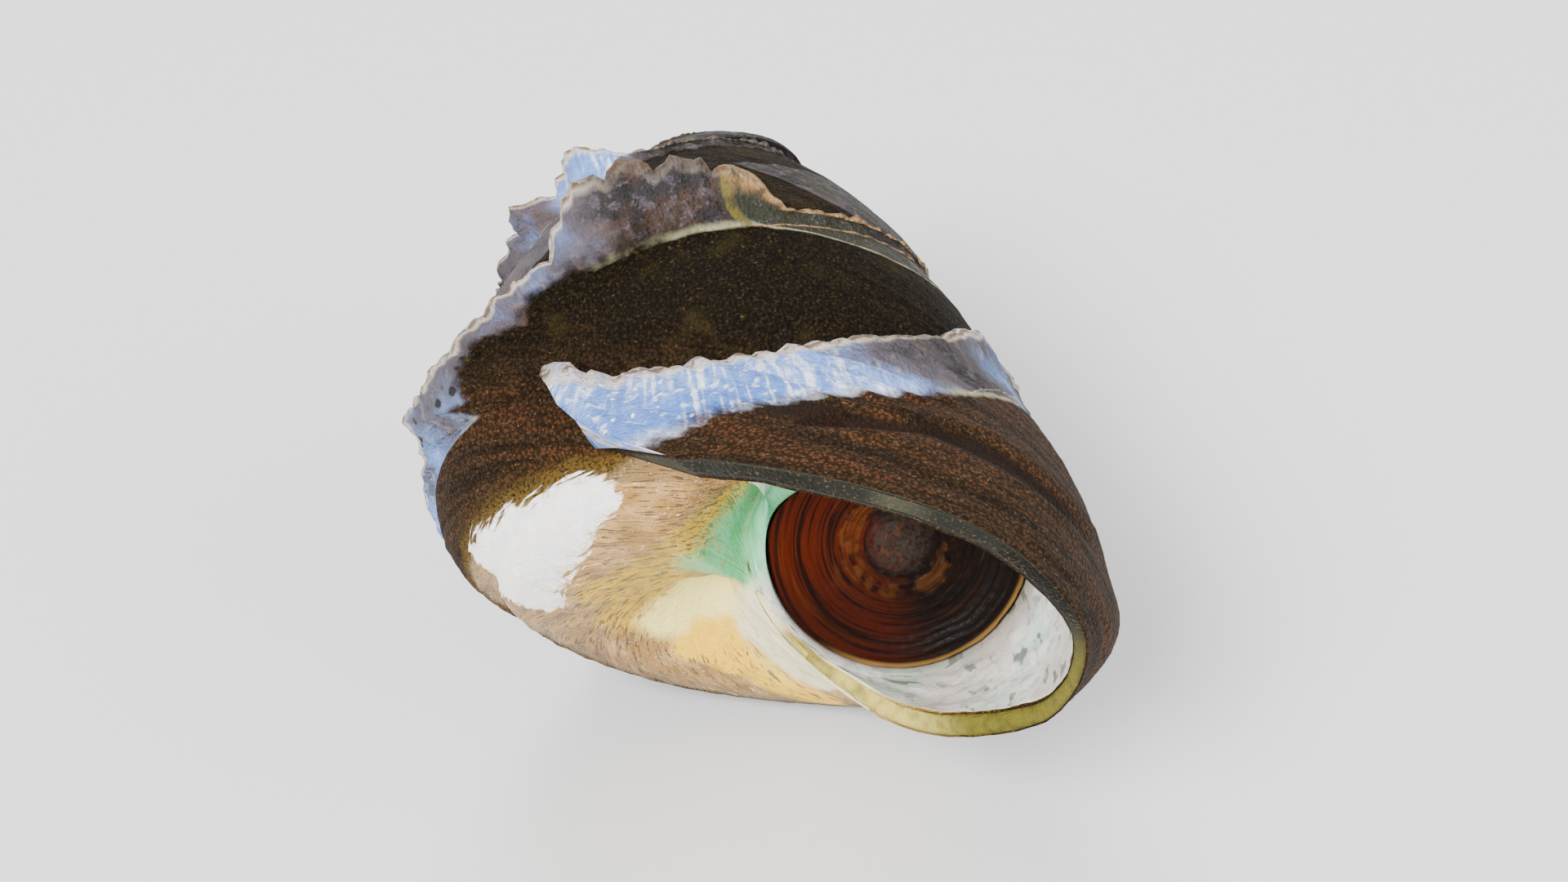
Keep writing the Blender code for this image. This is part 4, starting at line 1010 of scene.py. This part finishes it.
LIME = (
    ("mauve",),
    ("dark_mauve", ("folds", 0.5, 0.64, 0.8)),
    ("pale_mauve", ("lumps", 0.54, 0.7, 0.6)),
    ("pale_mauve", ("blue_edge", 0.05, 0.35, 0.8)),
    ("brown_rim", ("clouds", 0.5, 0.62, 0.6), ("blue", 0.7, 0.2), ("grain", 0.35, 0.6)),
    ("olive_edge", ("green_edge", 0.25, 0.6, 0.85)),
    ("pale_mauve", ("specks", 0.5, 0.66, 0.55), ("lumps", 0.45, 0.6), ("blue", 0.5, 0.2)),
    ("blue", ("blue_edge", 0.3, 0.7)),
    ("deep_blue", ("spiral", 0.5, 0.64, 0.55), ("blue", 0.4, 0.9)),
    ("deep_blue", ("folds", 0.47, 0.36, 0.55), ("blue", 0.3, 0.8)),
    ("deep_blue", ("cross", 0.76, 0.84), ("cross", 0.99, 0.93), ("blue", 0.7, 1, 0.65)),
    ("white", ("folds", 0.51, 0.66, 0.55), ("blue", 0.3, 0.9), ("lumps", 0.3, 0.5, 1, 0.3)),
    ("white", ("lumps", 0.55, 0.7, 0.5), ("blue", 0.3, 0.9)),
    ("white", ("dots", 0.17, 0.08, 0.9), ("blue", 0.55, 0.9)),
    ("dark_mauve", ("dots", 0.34, 0.22, 0.9), ("turn", -348, -342), ("turn", -306, -312), ("cross", 0.68, 0.74),
     ("cross", 0.9, 0.84)),
    ("white", ("limy_edge", 0.55, 0.2), ("foot", 0.1, 0.6), ("blue", 0.5, 0.9, 0.8)),
    ("cream_line", ("limy_edge", 0.3, 0.1), ("foot", 0.5, 0.95), ("blue", 0.6, 0.3, 0.85), ("turn", -480, -430)),
    ("olive_line", ("green", 1.2, 1.9), ("lumps", 0.3, 0.6, 0.95, 0.2)),
    ("warm_rim", ("cross", 0.46, 0.52), ("cross", 0.82, 0.66), ("turn", -396, -404), ("turn", -640, -560),
     ("lumps", 0.34, 0.56, 1, 0.25)),
    ("rim_cream", ("cross", 0.48, 0.54), ("cross", 0.69, 0.64), ("blue", 0, 0.5, 0.9, 0.12),
     ("lumps", 0.3, 0.5, 1, 0.3)),
    ("brown_rim", ("cross", 0.54, 0.58), ("cross", 0.65, 0.61), ("lumps", 0.48, 0.58, 0.85, 0.25)),
    ("orange_spot", ("drift", 0.52, 0.6), ("lumps", 0.56, 0.68, 0.5), ("blue", 0.95, 0.5, 0.8, 0.1)),
    # Blue darkened by painted shade in the gutter behind the crest's rim
    ("gutter_shade_blue", ("cross", 0.4, 0.2, 0.7), ("blue", 0.3, 0.8)),
)
PEARL = (
    ("pearl",),
    ("pearl_grey", ("lumps", 0.46, 0.66, 0.75)),
    ("pearl_mint", ("clouds", 0.5, 0.66, 0.7)),
    ("pearl_pink", ("drift", 0.5, 0.62, 0.5)),
    # Grey-blue spots on the mother-of-pearl: painted shade of its pits
    ("pearl_pit_shade", ("marks", 0.58, 0.64, 0.9), ("clouds", 0.42, 0.5)),
    ("pearl_white", ("marks", 0.38, 0.3, 0.8), ("clouds", 0.44, 0.56)),
    ("cream", ("hollow", 0.25, 0.05, 0.5)),
    ("amber", ("amber_edge", -0.4, 0.3, 0.9)),
    ("pit", ("amber", -0.1, 0.2), ("marks", 0.56, 0.61, 0.8)),
    # Painted contact shade on the pearl round the lid's rim
    ("contact", ("contact", 0.15, 1, 0.65), ("hollow", 0, 0.05)),
)
LIP = (
    ("lip",),
    ("lip_line", ("lines", 0.52, 0.62, 0.75)),
    ("deep_skin", ("lines", 0.47, 0.4, 0.8)),
    ("pale_fleck", ("grain", 0.58, 0.74, 0.45)),
    ("gold_fleck", ("specks", 0.62, 0.74, 0.5), ("clouds", 0.45, 0.6)),
    ("olive_lip", ("share", 0.52, 0.62), ("lumps", 0.3, 0.6, 1, 0.6)),
    ("golden_lip", ("share", 0.8, 0.9), ("lumps", 0.3, 0.6, 1, 0.6)),
    ("pit", ("marks", 0.6, 0.66, 0.45), ("share", 0.6, 0.7)),
)
MINT = (("mint",),)
# Coats from the skin upwards: layers, roughness, shine, strength of relief, and steps
COATS = (
    (SKIN, 0.7, 0.06, 1),
    (BASE, 0.42, 0.35, 0.35, ("base_edge", -0.35, 0.45)),
    (CHALK, 0.8, 0.1, 0.3, ("chalk_edge", -0.02, 0.1)),
    (LIME, 0.6, 0.15, 0.8, ("limy_edge", -0.1, 0.15)),
    (PEARL, 0.22, 0.5, 0.15, ("pearl_edge", -0.3, 0.35)),
    (MINT, 0.25, 0.5, 0.15, ("mint_edge", -0.3, 0.75, 0.9), ("brush", 0.3, 0.55, 1, 0.7)),
    (LIP, 0.5, 0.1, 0.6, ("lip", 0.25, 0.6), ("share", 0.985, 0.95)),
)
# Fine bumps of the shell: field and amount, and the height of one, metres
BUMPS = (("beads", -1.2), ("lines", 0.8), ("lumps", 1.2), ("grain", 0.6), ("folds", 1.1))
BUMP_HEIGHT = 0.00009
LID_BUMP_HEIGHT = 0.00005
# Layers of the lid's horn, and its roughness by the grain
HORN = (
    ("dark_horn",),
    ("red_horn", ("side", 0.1, -0.75)),
    ("black_horn", ("rings", 0.48, 0.62, 0.85)),
    ("orange_horn", ("bands", 0.58, 0.72, 0.4), ("rings", 0.4, 0.52), ("low_right", 0.8, 0, 1, 0.3)),
    ("grey_horn", ("bands", 0.42, 0.32, 0.4), ("rings", 0.46, 0.56), ("side", -0.6, 0.2)),
    ("crust", ("wander", 2, 2.25), ("wander", 3, 2.7), ("patches", 0.42, 0.56, 0.8),
     ("rings", 0.42, 0.54, 1, 0.25)),
    ("black_horn", ("north", 0, -0.9, 0.5)),
    ("black_horn", ("wander", 1.45, 1.7), ("wander", 2.1, 1.85, 0.45)),
    ("core", ("wander", 2.05, 1.2), ("grain", 0.36, 0.56, 0.9, 0.3)),
    ("crust", ("wander", 1.9, 1.3), ("lumps", 0.58, 0.68, 0.35)),
    ("golden_rim", ("radius", 5.02, 5.22), ("low_right", 0.7, 1.6, 0.65)),
)
LID_ROUGHNESS = (("grain", 0.35, 0.65, 0.6, 0.4),)
# The lid's rings lie 0.13 to 0.45 mm apart and run a quarter of the way round before they change
LID_PATTERNS = (("rings", 0.13, 1.4), ("bands", 0.45, 1.1), ("patches", 1.1, 0.45))
# Patterns in space on the lid: how many to a millimetre, and detail
LID_GRAINS = (("lumps", 2.2, 4), ("grain", 6, 2))
# Sums of two fields: the first by this amount, and the second
LID_SUMS = (
    ("wander", "lumps", 0.9, "radius"), ("side", "north", 0.5, "east"), ("low_right", "north", -1.6, "east"),
    ("height", "lumps", 0.6, "rings"),
)


def colour_properties(colours):
    """One colour property for each named hex value."""
    return {name: bpy.props.FloatVectorProperty(
        name=name.replace("_", " ").capitalize(), description="Colour of the " + name.replace("_", " "),
        subtype="COLOR", size=3, min=0.0, max=1.0, default=linear(value)[:3]) for name, value in colours.items()}


class ShellSettings(bpy.types.PropertyGroup):
    """Relief and colours of the shell's fine surface"""

    growth_line: bpy.props.FloatProperty(
        name="Growth line", description="Height of the growth lines", default=0.00003, unit="LENGTH")
    furrow_depth: bpy.props.FloatProperty(
        name="Furrow depth", description="Depth of the furrow behind the lip", default=0.00030, unit="LENGTH")
    crest_ridge: bpy.props.FloatProperty(
        name="Crest ridge", description="Height of the ridges on the limy crest", default=0.00011, unit="LENGTH")
    pearl_lump: bpy.props.FloatProperty(
        name="Pearl lump", description="Height of the lumps in the mother-of-pearl", default=0.00010, unit="LENGTH")
    __annotations__.update(colour_properties(SHELL_COLOURS))


class LidSettings(bpy.types.PropertyGroup):
    """Colours of the horny lid"""

    __annotations__ = colour_properties(LID_COLOURS)


class StageSettings(bpy.types.PropertyGroup):
    """Floor and light"""

    floor: bpy.props.FloatVectorProperty(
        name="Floor", description="Colour of the floor", subtype="COLOR", size=3, min=0.0, max=1.0,
        default=linear("#d6d6d6")[:3])
    light: bpy.props.FloatProperty(name="Light", description="Strength of all lamps", default=1.7, min=0.0)


class SHELL_OT_skin(bpy.types.Operator):
    """Builds the shell's fine surface in place of the plain solid"""

    bl_idname = "shell.skin"
    bl_label = "Shell"

    def execute(self, context):
        points, values, faces = shell_skin()
        masks = shell_masks(points, values)
        points = relief(points, values, faces)
        piece = make_piece("shell_skin", lay_down(points / MM), faces, masks, shell_finish(masks))
        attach(piece, "root")
        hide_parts("shell")
        return {"FINISHED"}


class SHELL_OT_lid(bpy.types.Operator):
    """Builds the ringed horny lid in place of the plain one"""

    bl_idname = "shell.lid"
    bl_label = "Lid"

    def execute(self, context):
        points, faces = lid_surface()
        radius = np.hypot(points[:, 0], points[:, 1])
        about = np.maximum(radius, 0.001)
        fields = {"radius": radius, "east": points[:, 0] / about, "north": points[:, 1] / about}
        piece = make_piece("lid", lay_down(from_lid(points) / MM), faces, fields, lid_finish(fields))
        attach(piece, "root")
        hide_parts("operculum")
        return {"FINISHED"}


class SHELL_OT_stage(bpy.types.Operator):
    """Sets up the pale floor, the soft lights and the camera"""

    bl_idname = "shell.stage"
    bl_label = "Stage"

    def execute(self, context):
        scene = context.scene
        light = scene.stage_settings.light
        mesh = bpy.data.meshes.new("floor")
        corners = [(x * FLOOR_HALF, y * FLOOR_HALF, 0) for x, y in ((-1, -1), (1, -1), (1, 1), (-1, 1))]
        mesh.from_pydata(corners, [], [(0, 1, 2, 3)])
        mesh.materials.append(floor_finish())
        floor = add_object("floor", mesh)
        camera = bpy.data.cameras.new("camera")
        camera.lens = CAMERA_LENS
        camera.sensor_width = CAMERA_SENSOR
        camera.clip_start = CAMERA_NEAR
        holder = add_object("camera", camera)
        right, up = Vector(CAMERA_RIGHT), Vector(CAMERA_UP)
        turn = Matrix((right, up, right.cross(up))).transposed().to_4x4()
        holder.matrix_world = Matrix.Translation(CAMERA_PLACE) @ turn
        scene.camera = holder
        world = bpy.data.worlds.new("studio")
        world.use_nodes = True
        sky = world.node_tree.nodes["Background"]
        join(world.node_tree, sky, Color=linear(SKY_COLOUR), Strength=SKY_LIGHT * light)
        scene.world = world
        for name, place, energy, width in LAMPS:
            lamp = bpy.data.lights.new(name, "AREA")
            lamp.energy = energy * light
            lamp.size = width
            lit = add_object(name, lamp)
            lit.location = place
            lit.rotation_euler = (Vector(LAMP_AIM) - Vector(place)).to_track_quat("-Z", "Y").to_euler()
        return {"FINISHED"}


class SHELL_PT_panel(bpy.types.Panel):
    """Lists the shell's operators and sizes"""

    bl_label = "Shell"
    bl_space_type = "VIEW_3D"
    bl_region_type = "UI"
    bl_category = "Shell"

    def draw(self, context):
        column = self.layout.column()
        for name in OPERATORS:
            column.operator("shell." + name)
        for group in GROUPS:
            settings = getattr(context.scene, group)
            for name in settings.bl_rna.properties.keys()[2:]:
                column.prop(settings, name)


OPERATORS = ("skin", "lid", "stage")
GROUPS = {"shell_settings": ShellSettings, "lid_settings": LidSettings, "stage_settings": StageSettings}
CLASSES = (*GROUPS.values(), SHELL_OT_skin, SHELL_OT_lid, SHELL_OT_stage, SHELL_PT_panel)


def register():
    """Registers the classes and the settings."""
    for item in CLASSES:
        bpy.utils.register_class(item)
    for name, group in GROUPS.items():
        setattr(bpy.types.Scene, name, bpy.props.PointerProperty(type=group))


def unregister():
    """Removes the settings and the classes."""
    for name in GROUPS:
        delattr(bpy.types.Scene, name)
    for item in reversed(CLASSES):
        bpy.utils.unregister_class(item)


def main():
    """Builds every piece in order."""
    register()
    for name in OPERATORS:
        getattr(bpy.ops.shell, name)()


if __name__ == "__main__":
    main()
